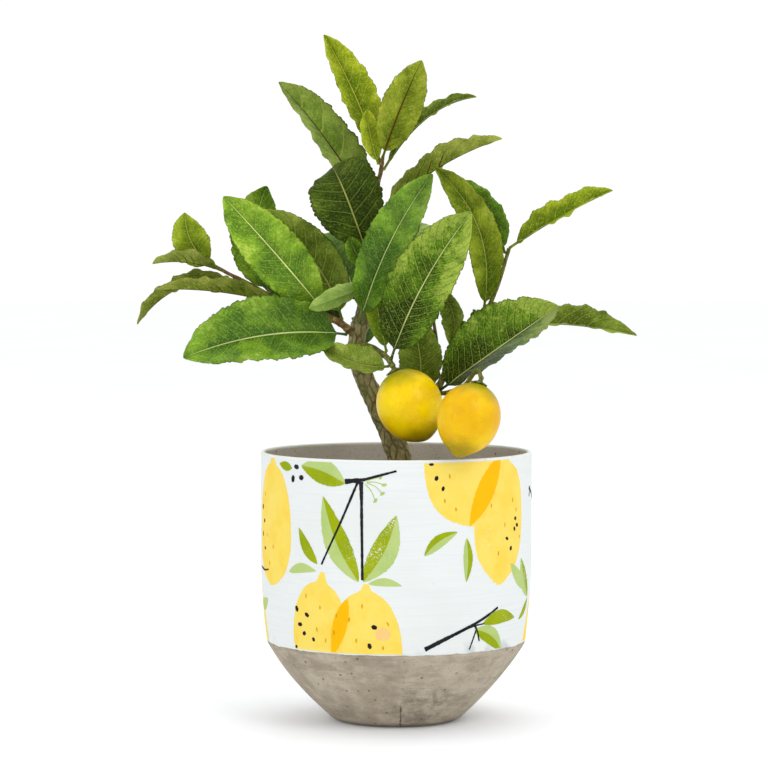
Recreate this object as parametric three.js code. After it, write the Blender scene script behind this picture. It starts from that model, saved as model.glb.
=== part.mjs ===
// Cement plant pot with a printed lemon band, holding a drop-in artificial lemon tree.
// Millimetres, +Z up, +X to the viewer's right, -Y towards the viewer.
// Z = 0 is the plane the pot stands on; the pot axis is the Z axis.
import * as THREE from "three";

// ---- pot
const POT_RADIUS = 80.3;        // outside, straight part of the wall
const RIM_HEIGHT = 159.4;
const SHOULDER_Z = 46.4;        // crisp edge where the bowl foot starts
const SHOULDER_INSET = 3.7;     // how far the wall has drawn in at the shoulder
const TAPER_START = 54.4;       // the wall is straight from this far below the rim
const BASE_RADIUS = 37;
const WALL = 6;                 // at the floor; the cast wall thins towards the rim
const RIM_WALL = 2.6;
const FLOOR = 12;
const PRINT_THICKNESS = 0.6;
const GAP = 0.3;                // clearance between separate pieces
const POT_SEGMENTS = 72;

// ---- drop-in plant
const LINER_BOTTOM_RADIUS = 30;
const LINER_TOP_RADIUS = POT_RADIUS - 20.3;
const LINER_WALL = 1.6;
const LINER_LIP = 3;
const SOIL_DEPTH = 36;          // top of the soil below the pot rim
const SOIL_THICKNESS = 8;
const ROOT_DEPTH = 86;          // foot of the trunk below the pot rim
const TRUNK_RADIUS = 8.6;
const ROOT_FIT = 1;
const HINGE_GAP = 0.45;         // between a bending spray and the stem that carries it
const LEAF_THICKNESS = 1;
const LEAF_STEPS = 12;
const LEAF_SCALE = 1;           // blade width

// ---- stems: name, carried by, where along it, radii, then points
// Plant points are x, y and height above the pot rim.
const STEMS = [
  ["trunk", null, 0, TRUNK_RADIUS, 1.9,
    [8, 0, -ROOT_DEPTH], [8, 0, -SOIL_DEPTH], [2, 0, -4], [-10, 0, 25], [-21, 0, 49],
    [-23, 0, 67], [-18, 4, 87], [-15, 6, 107], [-13, 6, 128], [-11, 4, 148]],
  ["left_shoot", "trunk", 0.57, 2.2, 1.8, [-33, -8, 76], [-44, -8, 81], [-54, -6, 84]],
  ["lemon_twig", "trunk", 0.53, 2, 1.5, [-15, -14, 62], [-9, -22, 59], [-5, -28, 56]],
  ["low_branch", "trunk", 0.33, 2.4, 1.7,
    [4, -3, 29], [17, -10, 31], [25, -15, 39], [33, -20, 56], [43, -22, 68], [51, -22, 78]],
  ["fruit_twig", "low_branch", 0.4, 1.2, 0.9,
    [22, -5, 47], [24, -4, 63], [22, -3, 81], [25, -2, 94]],
  ["fruit_stalk", "low_branch", 0.46, 1.4, 1.2,
    [30, -29, 36], [39, 31.3 - POT_RADIUS, 41], [46, 16.3 - POT_RADIUS, 50.5]],
];
const SPRAYS = [
  ["top_stem", "trunk", 1.6, 1.1, [-11, 3, 157], [-9, 1, 165], [-8, 0, 173]],
  ["left_spray_stem", "left_shoot", 1.6, 0.9,
    [-67, -6, 88], [-85, -4, 98], [-99, -2, 105], [-108, 0, 110]],
  ["right_spray_stem", "low_branch", 1.5, 1, [56, -22, 90], [61, -21, 103], [66, -20, 120]],
];

// ---- lemons: name, hangs from, centre, direction of the stalk end, half width, half length, nub
const LEMONS = [
  ["left", "lemon_twig", [8, -36, 29], [-0.4, 0.16, 0.9], 19.2, 21.6, 0.8],
  ["right", "fruit_stalk", [41, 3.3 - POT_RADIUS, 24], [0.3, 0.22, 0.93], 18, 20.4, 2.4],
];

// ---- leaves: name, stem, where along it, tip, bow of the midrib, width, roll at foot and
// tip, fold of the two halves, edge wave, colour
const LEAVES = [
  ["top_left_leaf", "top_stem", 0.9, [-43, 20, 247], [2, 7, 1], 26, 27, 27, 27, 0.7, "lime"],
  ["top_centre_leaf", "top_stem", 1, [15, -11, 230], [-1, -4, 0], 25, 172, 178, 8, 0.6, "lime"],
  ["top_bud_leaf", "top_stem", 0.85, [-17, 0, 202], [-2, 0, 1], 12, 10, 10, 10, 0.3, "lime"],
  ["top_right_leaf", "top_stem", 0.72, [48, 16, 210], [-2, 2, 9], 15, -58, -58, 30, 0.8, "olive"],
  ["crown_left_leaf", "trunk", 0.96, [-70, 22, 219], [2, 3, 2], 31, 146, 146, 32, 1, "olive"],
  ["crown_dark_leaf", "trunk", 0.82, [-38, 15, 168], [-3, -16, 10], 43, -4, -2, 6, 0.9, "dark"],
  ["crown_right_leaf", "trunk", 0.97, [63, 10, 185], [0, 0, 5], 22, -125, -125, 34, 1.3, "olive"],
  ["heart_tall_leaf", "trunk", 0.6, [21, -40, 163], [-4, -12, 3], 30, -20, -16, 20, 0.7, "mid"],
  ["right_inner_leaf", "right_spray_stem", 0.08, [22, -30, 167], [12, -3, 5], 22, 10, 20, 16, 1.3,
    "lime"],
  ["right_back_leaf", "right_spray_stem", 0.94, [35, -6, 160], [4, 1, 3], 17, 30, 30, 20, 0.7,
    "mid"],
  ["right_tip_leaf", "right_spray_stem", 1, [127, -14, 154], [0, 0, 2], 22, -55, -55, 32, 1.3,
    "lime"],
  ["low_right_leaf", "low_branch", 0.49, [93, -62, 87], [1, -6, 1], 49, 36, 36, -34, 1.2, "dark"],
  ["far_right_leaf", "low_branch", 0.96, [141, -20, 69], [0, 2, 4], 25, -55, -55, 32, 1.5,
    "olive"],
  ["heart_wide_leaf", "lemon_twig", 0.86, [43, -52, 141], [-4.5, -6, 1], 40, -18, -16, 18, 1,
    "mid"],
  ["heart_behind_leaf", "lemon_twig", 0.6, [-15, -1, 108], [0, 5, 0], 15, 0, 0, 10, 0.4, "lime"],
  ["under_heart_leaf", "low_branch", 0.3, [8, -12, 81], [3, -4, 0], 26, 5, 5, 10, 0.5, "olive"],
  ["hanging_leaf", "fruit_twig", 1, [32, -13, 62], [5, -5, 3], 15, 25, 25, 20, 0.3, "olive"],
  ["left_wide_leaf", "left_shoot", 0.62, [-100, -38, 150], [1, -3, 1], 33, -2, -2, 8, 0.8, "lime"],
  ["left_second_leaf", "left_shoot", 0.32, [-83, 0, 142], [8, 7, 4], 31, 0, 0, 8, 0.8,
    "mid"],
  ["left_back_leaf", "left_spray_stem", 0.36, [-77, 20, 157], [-8, 6, 0], 30, 0, 0, 8, 0.8, "mid"],
  ["left_small_leaf", "left_spray_stem", 1, [-125, 2, 141], [-4, 2, -3], 22, 0, 0, 8, 0.6,
    "lime"],
  ["left_high_leaf", "left_spray_stem", 0.86, [-143, -14, 111], [0, -4, 3], 15, 125, 125, 34, 0.8,
    "olive"],
  ["left_flat_leaf", "left_spray_stem", 0.24, [-139, -16, 96], [0, -3, 3], 18, 125, 125, 34, 1.1,
    "olive"],
  ["left_low_leaf", "left_spray_stem", 0.64, [-153, -4, 75], [-4, 4, 9], 15, 125, 125, 34, 0.9,
    "olive"],
  ["left_shade_leaf", "left_shoot", 0.14, [-85, 30, 108], [0, 9, 2], 27, 20, 20, 16, 0.6, "dark"],
  ["big_left_leaf", "left_shoot", 0.06, [-123, -46, 57], [0, -11, 6], 46, 26, 26, 26, 1.2, "mid"],
  ["pale_curl_leaf", "trunk", 0.72, [-51, -33, 85], [2, -2, 1], 14, 150, 180, 24, 0.5, "pale"],
  ["small_left_leaf", "lemon_twig", 0.96, [-44, -20, 62], [2, -2, -4], 24, 45, 45, 24, 0.5,
    "olive"],
  ["tiny_crown_leaf", "trunk", 0.79, [-27, -10, 127], [-2, -3, -1], 12, 0, 0, 10, 0.3, "mid"],
  ["rear_right_leaf", "trunk", 0.73, [21, 92, 134], [0, 2, 9], 27, 14, 14, 12, 0.8, "mid"],
  ["rear_left_leaf", "trunk", 0.65, [-48, 84, 128], [0, 2, 9], 27, -14, -14, 12, 0.8, "mid"],
  ["rear_low_leaf", "trunk", 0.5, [-2, 94, 69], [0, 2, 13], 26, 0, 0, 12, 0.8, "mid"],
];

const COLOURS = {
  cement: 0xa89e91, print: 0xe8eef0, liner: 0x1f2120, soil: 0x5a4632,
  ballast: 0x8c8880, bark: 0x6f6350, twig: 0x6d7340, lemon: 0xf2c21a, calyx: 0x55602c,
  lime: 0x8ba33a, olive: 0x6f8038, mid: 0x4e8a26, dark: 0x3c5a20, pale: 0xa9bf78,
};

function material(colour, roughness) {
  return new THREE.MeshStandardMaterial({ color: COLOURS[colour], roughness, metalness: 0 });
}

function named(name, geometry, colour, roughness = 0.7) {
  const mesh = new THREE.Mesh(geometry, material(colour, roughness));
  mesh.name = name;
  return mesh;
}

// Outside radius of the pot at height z.
function wallRadius(z) {
  const start = RIM_HEIGHT - TAPER_START;
  if (z >= start) return POT_RADIUS;
  if (z >= SHOULDER_Z) {
    const drop = (start - z) / (start - SHOULDER_Z);
    return POT_RADIUS - SHOULDER_INSET * drop * drop;
  }
  const shoulder = POT_RADIUS - SHOULDER_INSET;
  const up = z / SHOULDER_Z;
  return BASE_RADIUS + (shoulder - BASE_RADIUS) * (1.33 * up - 0.33 * up * up);
}

function lathe(profile, segments = POT_SEGMENTS) {
  const points = profile.map(([r, z]) => new THREE.Vector2(r, z));
  const geometry = new THREE.LatheGeometry(points, segments);
  return geometry.rotateX(Math.PI / 2);
}

function steps(from, to, count) {
  return Array.from({ length: count + 1 }, (_, i) => from + (to - from) * i / count);
}

// Inside radius of the pot at height z.
function innerRadius(z) {
  return wallRadius(z) - RIM_WALL - (WALL - RIM_WALL) * (RIM_HEIGHT - z) / (RIM_HEIGHT - FLOOR);
}

function potShell() {
  const recess = PRINT_THICKNESS + GAP;
  const band = bandSpan();
  const foot = steps(1.2, SHOULDER_Z, 7).map((z) => [wallRadius(z), z]);
  const printed = steps(band.low, band.high, 8).map((z) => [wallRadius(z) - recess, z]);
  const inside = steps(RIM_HEIGHT - 0.8, FLOOR + 14, 9).map((z) => [innerRadius(z), z]);
  const floorRadius = innerRadius(FLOOR);
  return named("pot_shell", lathe([
    [0, 0], [BASE_RADIUS - 1.2, 0], ...foot,
    [wallRadius(band.low), band.low], ...printed, [wallRadius(band.high), band.high],
    [POT_RADIUS - 0.5, RIM_HEIGHT], [POT_RADIUS - RIM_WALL + 0.5, RIM_HEIGHT], ...inside,
    [floorRadius - 2, FLOOR], [0, FLOOR],
  ]), "cement", 0.9);
}

function bandSpan() {
  return { low: SHOULDER_Z + 0.6, high: RIM_HEIGHT - 1 };
}

function printBand() {
  const { low, high } = bandSpan();
  const span = steps(low + GAP, high - GAP, 8);
  const outer = span.map((z) => [wallRadius(z), z]);
  const inner = span.map((z) => [wallRadius(z) - PRINT_THICKNESS, z]).reverse();
  return named("print_band", lathe([...outer, ...inner, outer[0]]), "print", 0.6);
}

// Outside radius of the nursery pot at height z.
function linerRadius(z) {
  const bottom = FLOOR + GAP;
  const top = RIM_HEIGHT - SOIL_DEPTH + 4;
  return LINER_BOTTOM_RADIUS + (LINER_TOP_RADIUS - LINER_BOTTOM_RADIUS) * (z - bottom) / (top - bottom);
}

function growerPot() {
  const bottom = FLOOR + GAP;
  const top = RIM_HEIGHT - SOIL_DEPTH + 4;
  const inner = LINER_TOP_RADIUS - LINER_WALL;
  return named("grower_pot", lathe([
    [0, bottom], [LINER_BOTTOM_RADIUS, bottom], [linerRadius(top - 6), top - 6],
    [linerRadius(top - 6) + LINER_LIP, top - 6], [LINER_TOP_RADIUS + LINER_LIP, top],
    [inner, top], [LINER_BOTTOM_RADIUS - LINER_WALL, bottom + LINER_WALL],
    [0, bottom + LINER_WALL],
  ], 64), "liner", 0.5);
}

// Radius of what fills the nursery pot at height z.
function fillRadius(z) {
  const bottom = FLOOR + GAP + LINER_WALL;
  const top = RIM_HEIGHT - SOIL_DEPTH + 4;
  const share = (z - bottom) / (top - bottom);
  const slope = LINER_TOP_RADIUS - LINER_BOTTOM_RADIUS;
  return LINER_BOTTOM_RADIUS - LINER_WALL + slope * share - 1.5 * GAP;
}

function ballast() {
  const low = FLOOR + LINER_WALL + 2 * GAP;
  const seat = RIM_HEIGHT - ROOT_DEPTH - GAP;
  const high = RIM_HEIGHT - SOIL_DEPTH - SOIL_THICKNESS - GAP;
  const hole = TRUNK_RADIUS + ROOT_FIT;
  return named("ballast", bored(lathe([
    [0, low], [fillRadius(low), low], [fillRadius(high), high], [8, high],
    [8, seat], [0, seat],
  ], 48), hole), "ballast", 0.9);
}

// The trunk stands off the pot axis, so the round hole in the fill is moved over with it.
function bored(geometry, hole) {
  const position = geometry.attributes.position;
  for (let i = 0; i < position.count; i += 1) {
    const x = position.getX(i);
    const y = position.getY(i);
    const r = Math.hypot(x, y);
    if (r > 0.01 && r < 8.01) {
      position.setXYZ(i, STEMS[0][5][0] + x * hole / r, y * hole / r, position.getZ(i));
    }
    if (r <= 0.01) position.setX(i, STEMS[0][5][0]);
  }
  return geometry;
}

function soilTop() {
  const high = RIM_HEIGHT - SOIL_DEPTH;
  const low = high - SOIL_THICKNESS;
  return named("soil_top", bored(lathe([
    [8, low], [fillRadius(low), low], [fillRadius(high) - 0.5, high - 2], [30, high + 1],
    [8, high], [8, low],
  ], 48), TRUNK_RADIUS + ROOT_FIT), "soil", 1);
}

// ---- plant geometry
function lift(point) {
  return new THREE.Vector3(point[0], point[1], point[2] + RIM_HEIGHT);
}

const curves = new Map();

function stemCurve(name, parent, at, r0, r1, points) {
  const path = points.map(lift);
  if (parent) path.unshift(surfacePoint(parent, at, path[0], GAP + 0.35));
  const curve = new THREE.CatmullRomCurve3(path, false, "catmullrom", 0.5);
  curves.set(name, { curve, r0, r1 });
}

// The first point of something that grows out of a stem towards a given place.
function surfacePoint(parent, at, towards, gap) {
  const { curve, r0, r1 } = curves.get(parent);
  const foot = curve.getPoint(at);
  const away = towards.clone().sub(foot);
  if (at >= 1) return foot.addScaledVector(away.normalize(), gap);
  const along = curve.getPoint(Math.min(1, at + 0.02)).sub(curve.getPoint(Math.max(0, at - 0.02)));
  along.normalize();
  away.addScaledVector(along, -away.dot(along)).normalize();
  return foot.addScaledVector(away, r0 + (r1 - r0) * at + gap);
}

// Rings of points joined into one closed skin, first and last ring capped.
function skin(rings) {
  const count = rings[0].length;
  const positions = rings.flat().flatMap((p) => [p.x, p.y, p.z]);
  const index = [];
  for (let i = 0; i + 1 < rings.length; i += 1) {
    for (let j = 0; j < count; j += 1) {
      const a = i * count + j;
      const b = i * count + (j + 1) % count;
      index.push(a, b, b + count, a, b + count, a + count);
    }
  }
  const last = (rings.length - 1) * count;
  for (let j = 1; j + 1 < count; j += 1) {
    index.push(0, j + 1, j);
    index.push(last, last + j, last + j + 1);
  }
  const geometry = new THREE.BufferGeometry();
  geometry.setAttribute("position", new THREE.Float32BufferAttribute(positions, 3));
  geometry.setIndex(index);
  geometry.computeVertexNormals();
  return geometry;
}

function ring(centre, along, radius, count) {
  const side = new THREE.Vector3(0, 1, 0);
  side.addScaledVector(along, -side.dot(along)).normalize();
  const other = new THREE.Vector3().crossVectors(along, side);
  return Array.from({ length: count }, (_, k) => {
    const turn = 2 * Math.PI * k / count;
    return centre.clone().addScaledVector(side, radius * Math.cos(turn))
      .addScaledVector(other, radius * Math.sin(turn));
  });
}

function stem(name, colour, count, perPoint) {
  const { curve, r0, r1 } = curves.get(name);
  const total = (curve.points.length - 1) * perPoint;
  const rings = steps(0, 1, total).map((u) => {
    const end = u === 0 || u === 1 ? 0.6 : 1;
    return ring(curve.getPoint(u), curve.getTangent(u), end * (r0 + (r1 - r0) * u), count);
  });
  return named(name, skin(rings), colour, 0.9);
}

// Blade width along the leaf, 0 to 1, after the short stalk.
function bladeWidth(u) {
  const t = Math.max(0, (u - 0.07) / 0.93);
  const low = Math.pow(t / 0.458, 0.55);
  return t <= 0 ? 0 : low * Math.pow((1 - t) / 0.542, 0.65);
}

// Which way a leaf's upper side faces: to the front, or up where the leaf itself runs front to back.
function leafFacing(base, end) {
  const chord = end.clone().sub(base).normalize();
  return Math.abs(chord.y) > 0.75 ? new THREE.Vector3(0, 0, 1) : new THREE.Vector3(0, -1, 0);
}

function leafFrame(bezier, u, roll) {
  const along = bezier.getTangent(u);
  const face = leafFacing(bezier.v0, bezier.v2);
  face.addScaledVector(along, -face.dot(along)).normalize();
  const side = new THREE.Vector3().crossVectors(along, face);
  const turned = side.clone().multiplyScalar(Math.cos(roll)).addScaledVector(face, -Math.sin(roll));
  const up = face.multiplyScalar(Math.cos(roll)).addScaledVector(side, Math.sin(roll));
  return { side: turned, up };
}

function leaf([name, parent, at, tip, bow, width, roll0, roll1, fold, wave, colour], order) {
  const end = lift(tip);
  const foot = curves.get(parent).curve.getPoint(at);
  const middle = foot.add(end).multiplyScalar(0.5).addScaledVector(new THREE.Vector3(...bow), 2);
  const base = surfacePoint(parent, at, middle, 3 * GAP);
  const bezier = new THREE.QuadraticBezierCurve3(base, middle, end);
  const slope = THREE.MathUtils.degToRad(fold);
  const rings = steps(0, 1, LEAF_STEPS).map((u) => {
    const roll = THREE.MathUtils.degToRad(roll0 + (roll1 - roll0) * u);
    const { side, up } = leafFrame(bezier, u, roll);
    const blade = bladeWidth(u);
    const half = Math.max(LEAF_SCALE * width / 2 * blade, 0.75);
    const thick = LEAF_THICKNESS / 2 * (u === 0 || u === 1 ? 0.7 : 1);
    const point = (v, s) => {
      const curl = wave * blade * v * v * Math.sin(12 * u + order + (v > 0 ? 1.3 : 0));
      return bezier.getPoint(u).addScaledVector(side, half * v * Math.cos(slope))
        .addScaledVector(up, half * Math.abs(v) * Math.sin(slope) + curl + s * thick);
    };
    return [point(1, 0), point(0.6, -1), point(0, -1), point(-0.6, -1),
      point(-1, 0), point(-0.6, 1), point(0, 1), point(0.6, 1)];
  });
  return named(name, skin(rings), colour, 0.55);
}

function alongAxis(geometry, axis, centre) {
  const turn = new THREE.Quaternion().setFromUnitVectors(new THREE.Vector3(0, 0, 1), axis);
  return geometry.applyQuaternion(turn).translate(centre.x, centre.y, centre.z);
}

function lemon(label, centre, axis, a, b, nub) {
  const profile = steps(0, Math.PI, 18).map((t) => {
    const tail = nub * Math.exp(-Math.pow(t / 0.4, 2));
    return [a * Math.sin(t), -b * Math.cos(t) - tail];
  });
  profile[0][0] = 0;
  profile[18][0] = 0;
  return named(`lemon_${label}`, alongAxis(lathe(profile, 32), axis, centre), "lemon", 0.4);
}

function calyx(label, centre, axis, b) {
  const foot = b + GAP;
  const profile = [[0, foot], [4.2, foot], [3.6, foot + 1], [1.5, foot + 1.6], [1.3, foot + 2.6],
    [0, foot + 3]];
  return named(`calyx_${label}`, alongAxis(lathe(profile, 16), axis, centre), "calyx", 0.8);
}

// Where a lemon's calyx meets the stem that carries it.
function lemonPivot([, , centre, direction, , b]) {
  const axis = new THREE.Vector3(...direction).normalize();
  return lift(centre).addScaledVector(axis, b + GAP + 3 + HINGE_GAP);
}

function buildStems(group) {
  for (const [name, parent, at, r0, r1, ...points] of STEMS) {
    const lemonRow = LEMONS.find((row) => row[1] === name);
    stemCurve(name, parent, at, r0, r1, points);
    if (lemonRow) curves.get(name).curve.points.push(lemonPivot(lemonRow));
    const trunk = name === "trunk";
    group.add(stem(name, trunk ? "bark" : "twig", trunk ? 14 : 8, trunk ? 4 : 3));
  }
  for (const [name, parent, r0, r1, ...points] of SPRAYS) {
    const first = surfacePoint(parent, 1, lift(points[0]), HINGE_GAP);
    stemCurve(name, null, 0, r0, r1, points);
    curves.get(name).curve.points.unshift(first);
    group.add(stem(name, "twig", 8, 3));
  }
}

function build() {
  const group = new THREE.Group();
  group.name = "lemon_pot_plant";
  group.add(potShell(), printBand(), growerPot(), ballast(), soilTop());
  buildStems(group);
  for (const [label, , centre, direction, a, b, nub] of LEMONS) {
    const axis = new THREE.Vector3(...direction).normalize();
    group.add(lemon(label, lift(centre), axis, a, b, nub), calyx(label, lift(centre), axis, b));
  }
  LEAVES.forEach((row, order) => group.add(leaf(row, order)));
  return group;
}

export default build();
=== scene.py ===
"""Cement pot with a printed lemon band and a drop-in artificial lemon tree, dressed on its CAD frame.

Lengths in the tables are millimetres; Blender's own are metres. +Z is up and -Y faces the viewer.
"""

import bmesh
import bpy
import numpy as np
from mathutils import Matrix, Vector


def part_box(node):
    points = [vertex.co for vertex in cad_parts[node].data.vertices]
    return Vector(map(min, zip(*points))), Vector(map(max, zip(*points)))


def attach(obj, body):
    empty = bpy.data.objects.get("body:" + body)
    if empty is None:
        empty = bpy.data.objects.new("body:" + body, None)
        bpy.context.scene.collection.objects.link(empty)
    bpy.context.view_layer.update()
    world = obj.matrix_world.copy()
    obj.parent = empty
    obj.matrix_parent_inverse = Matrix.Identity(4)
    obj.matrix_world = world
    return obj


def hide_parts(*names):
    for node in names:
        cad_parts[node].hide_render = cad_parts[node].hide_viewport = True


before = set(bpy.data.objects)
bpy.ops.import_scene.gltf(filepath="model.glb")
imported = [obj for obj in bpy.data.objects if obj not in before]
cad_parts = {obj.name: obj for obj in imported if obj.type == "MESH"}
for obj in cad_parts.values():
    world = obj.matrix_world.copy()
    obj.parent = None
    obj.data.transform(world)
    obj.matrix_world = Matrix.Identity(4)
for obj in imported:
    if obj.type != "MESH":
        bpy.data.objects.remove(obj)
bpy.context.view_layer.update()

bl_info = {
    "name": "Lemon Pot Plant",
    "version": (1, 0, 0),
    "blender": (4, 5, 0),
    "location": "3D View > Sidebar > Lemon Pot",
    "description": "Dresses a printed cement pot and its artificial lemon tree",
    "category": "Object",
}

MM = 0.001
TURN = 2 * np.pi
RIM_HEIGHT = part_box("pot_shell")[1][2] / MM
POT_RADIUS = 80.3
SHOULDER_Z = 46.4
SHOULDER_INSET = 3.7
TAPER_START = 54.4
BASE_RADIUS = 37.0
FLOOR_WALL = 6.0
RIM_WALL = 2.6
FLOOR_Z = 12.0
BAND_LOW = 47.0
BAND_HIGH = 158.2
CAST_WANDER = 70  # length of the longest waves in the cast wall
CAST_SEED = 3
BAND_DEPTH = 0.75  # how deep the printed coat goes into the wall
INK_ROOT = 0.3  # how far each ink goes on inside the coat
GROWER_TOP = RIM_HEIGHT - 32  # lip of the nursery pot
GROWER_RADII = 30.0, 60.0  # its outside at the foot and under the lip
SOIL_TOP = RIM_HEIGHT - 36
SOIL_LOW = RIM_HEIGHT - 43.6
SOIL_RADII = 9.1, 57.0  # of the hole round the trunk and of the bedding
TRUNK_X = 8.0  # where the trunk comes out of the bedding
STALK_JOINT = 3.75  # from the end of a lemon to the joint that it sways on
VEIN_SWEEP = 0.18  # how far a side vein has run to the tip by the time it meets the edge
FLOOR_DROP = 0.25  # the floor lies this far under the pot's foot
CAMERA_PLACE = (-0.0071, -1.805, 0.286)

# ---- stems: carried by, where along it, radii, points (x, y, height above the rim), body, bark
STEMS = {
    "trunk": (None, 0, 8.6, 1.9,
              [[8, 0, -86], [8, 0, -36], [2, 0, -4], [-10, 0, 25], [-21, 0, 49], [-23, 0, 67],
               [-18, 4, 87], [-15, 6, 107], [-13, 6, 128], [-11, 4, 148]], "plant", "trunk_bark"),
    "left_shoot": ("trunk", 0.57, 2.2, 1.8, [[-33, -8, 76], [-44, -8, 81], [-54, -6, 84]],
                   "plant", "red_twig"),
    "lemon_twig": ("trunk", 0.53, 2.0, 1.5, [[-15, -14, 62], [-9, -22, 59], [-5, -28, 56]],
                   "plant", "green_twig"),
    "low_branch": ("trunk", 0.33, 2.4, 1.7,
                   [[4, -3, 29], [17, -10, 31], [25, -15, 39], [33, -20, 56], [43, -22, 68],
                    [51, -22, 78]], "plant", "green_twig"),
    "fruit_twig": ("low_branch", 0.4, 1.2, 0.9,
                   [[22, -5, 47], [24, -4, 63], [22, -3, 81], [25, -2, 94]], "plant", "green_twig"),
    "fruit_stalk": ("low_branch", 0.46, 1.4, 1.2, [[30, -29, 36], [39, -49, 41], [46, -64, 50.5]],
                    "plant", "green_twig"),
    "top_stem": ("trunk", 1, 1.6, 1.1, [[-11, 3, 157], [-9, 1, 165], [-8, 0, 173]],
                 "top_spray", "red_twig"),
    "left_spray_stem": ("left_shoot", 1, 1.6, 0.9,
                        [[-67, -6, 88], [-85, -4, 98], [-99, -2, 105], [-108, 0, 110]],
                        "left_spray", "red_twig"),
    "right_spray_stem": ("low_branch", 1, 1.5, 1.0, [[56, -22, 90], [61, -21, 103], [66, -20, 120]],
                         "right_spray", "green_twig"),
}

# ---- lemons: twig, centre, direction of the stalk end, half width, half length, nib
LEMONS = {
    "left": ("lemon_twig", (8, -36, 29), (-0.4, 0.16, 0.9), 19.2, 21.6, 0.8),
    "right": ("fruit_stalk", (41, -77, 24), (0.3, 0.22, 0.93), 18.0, 20.4, 2.4),
}

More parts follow.
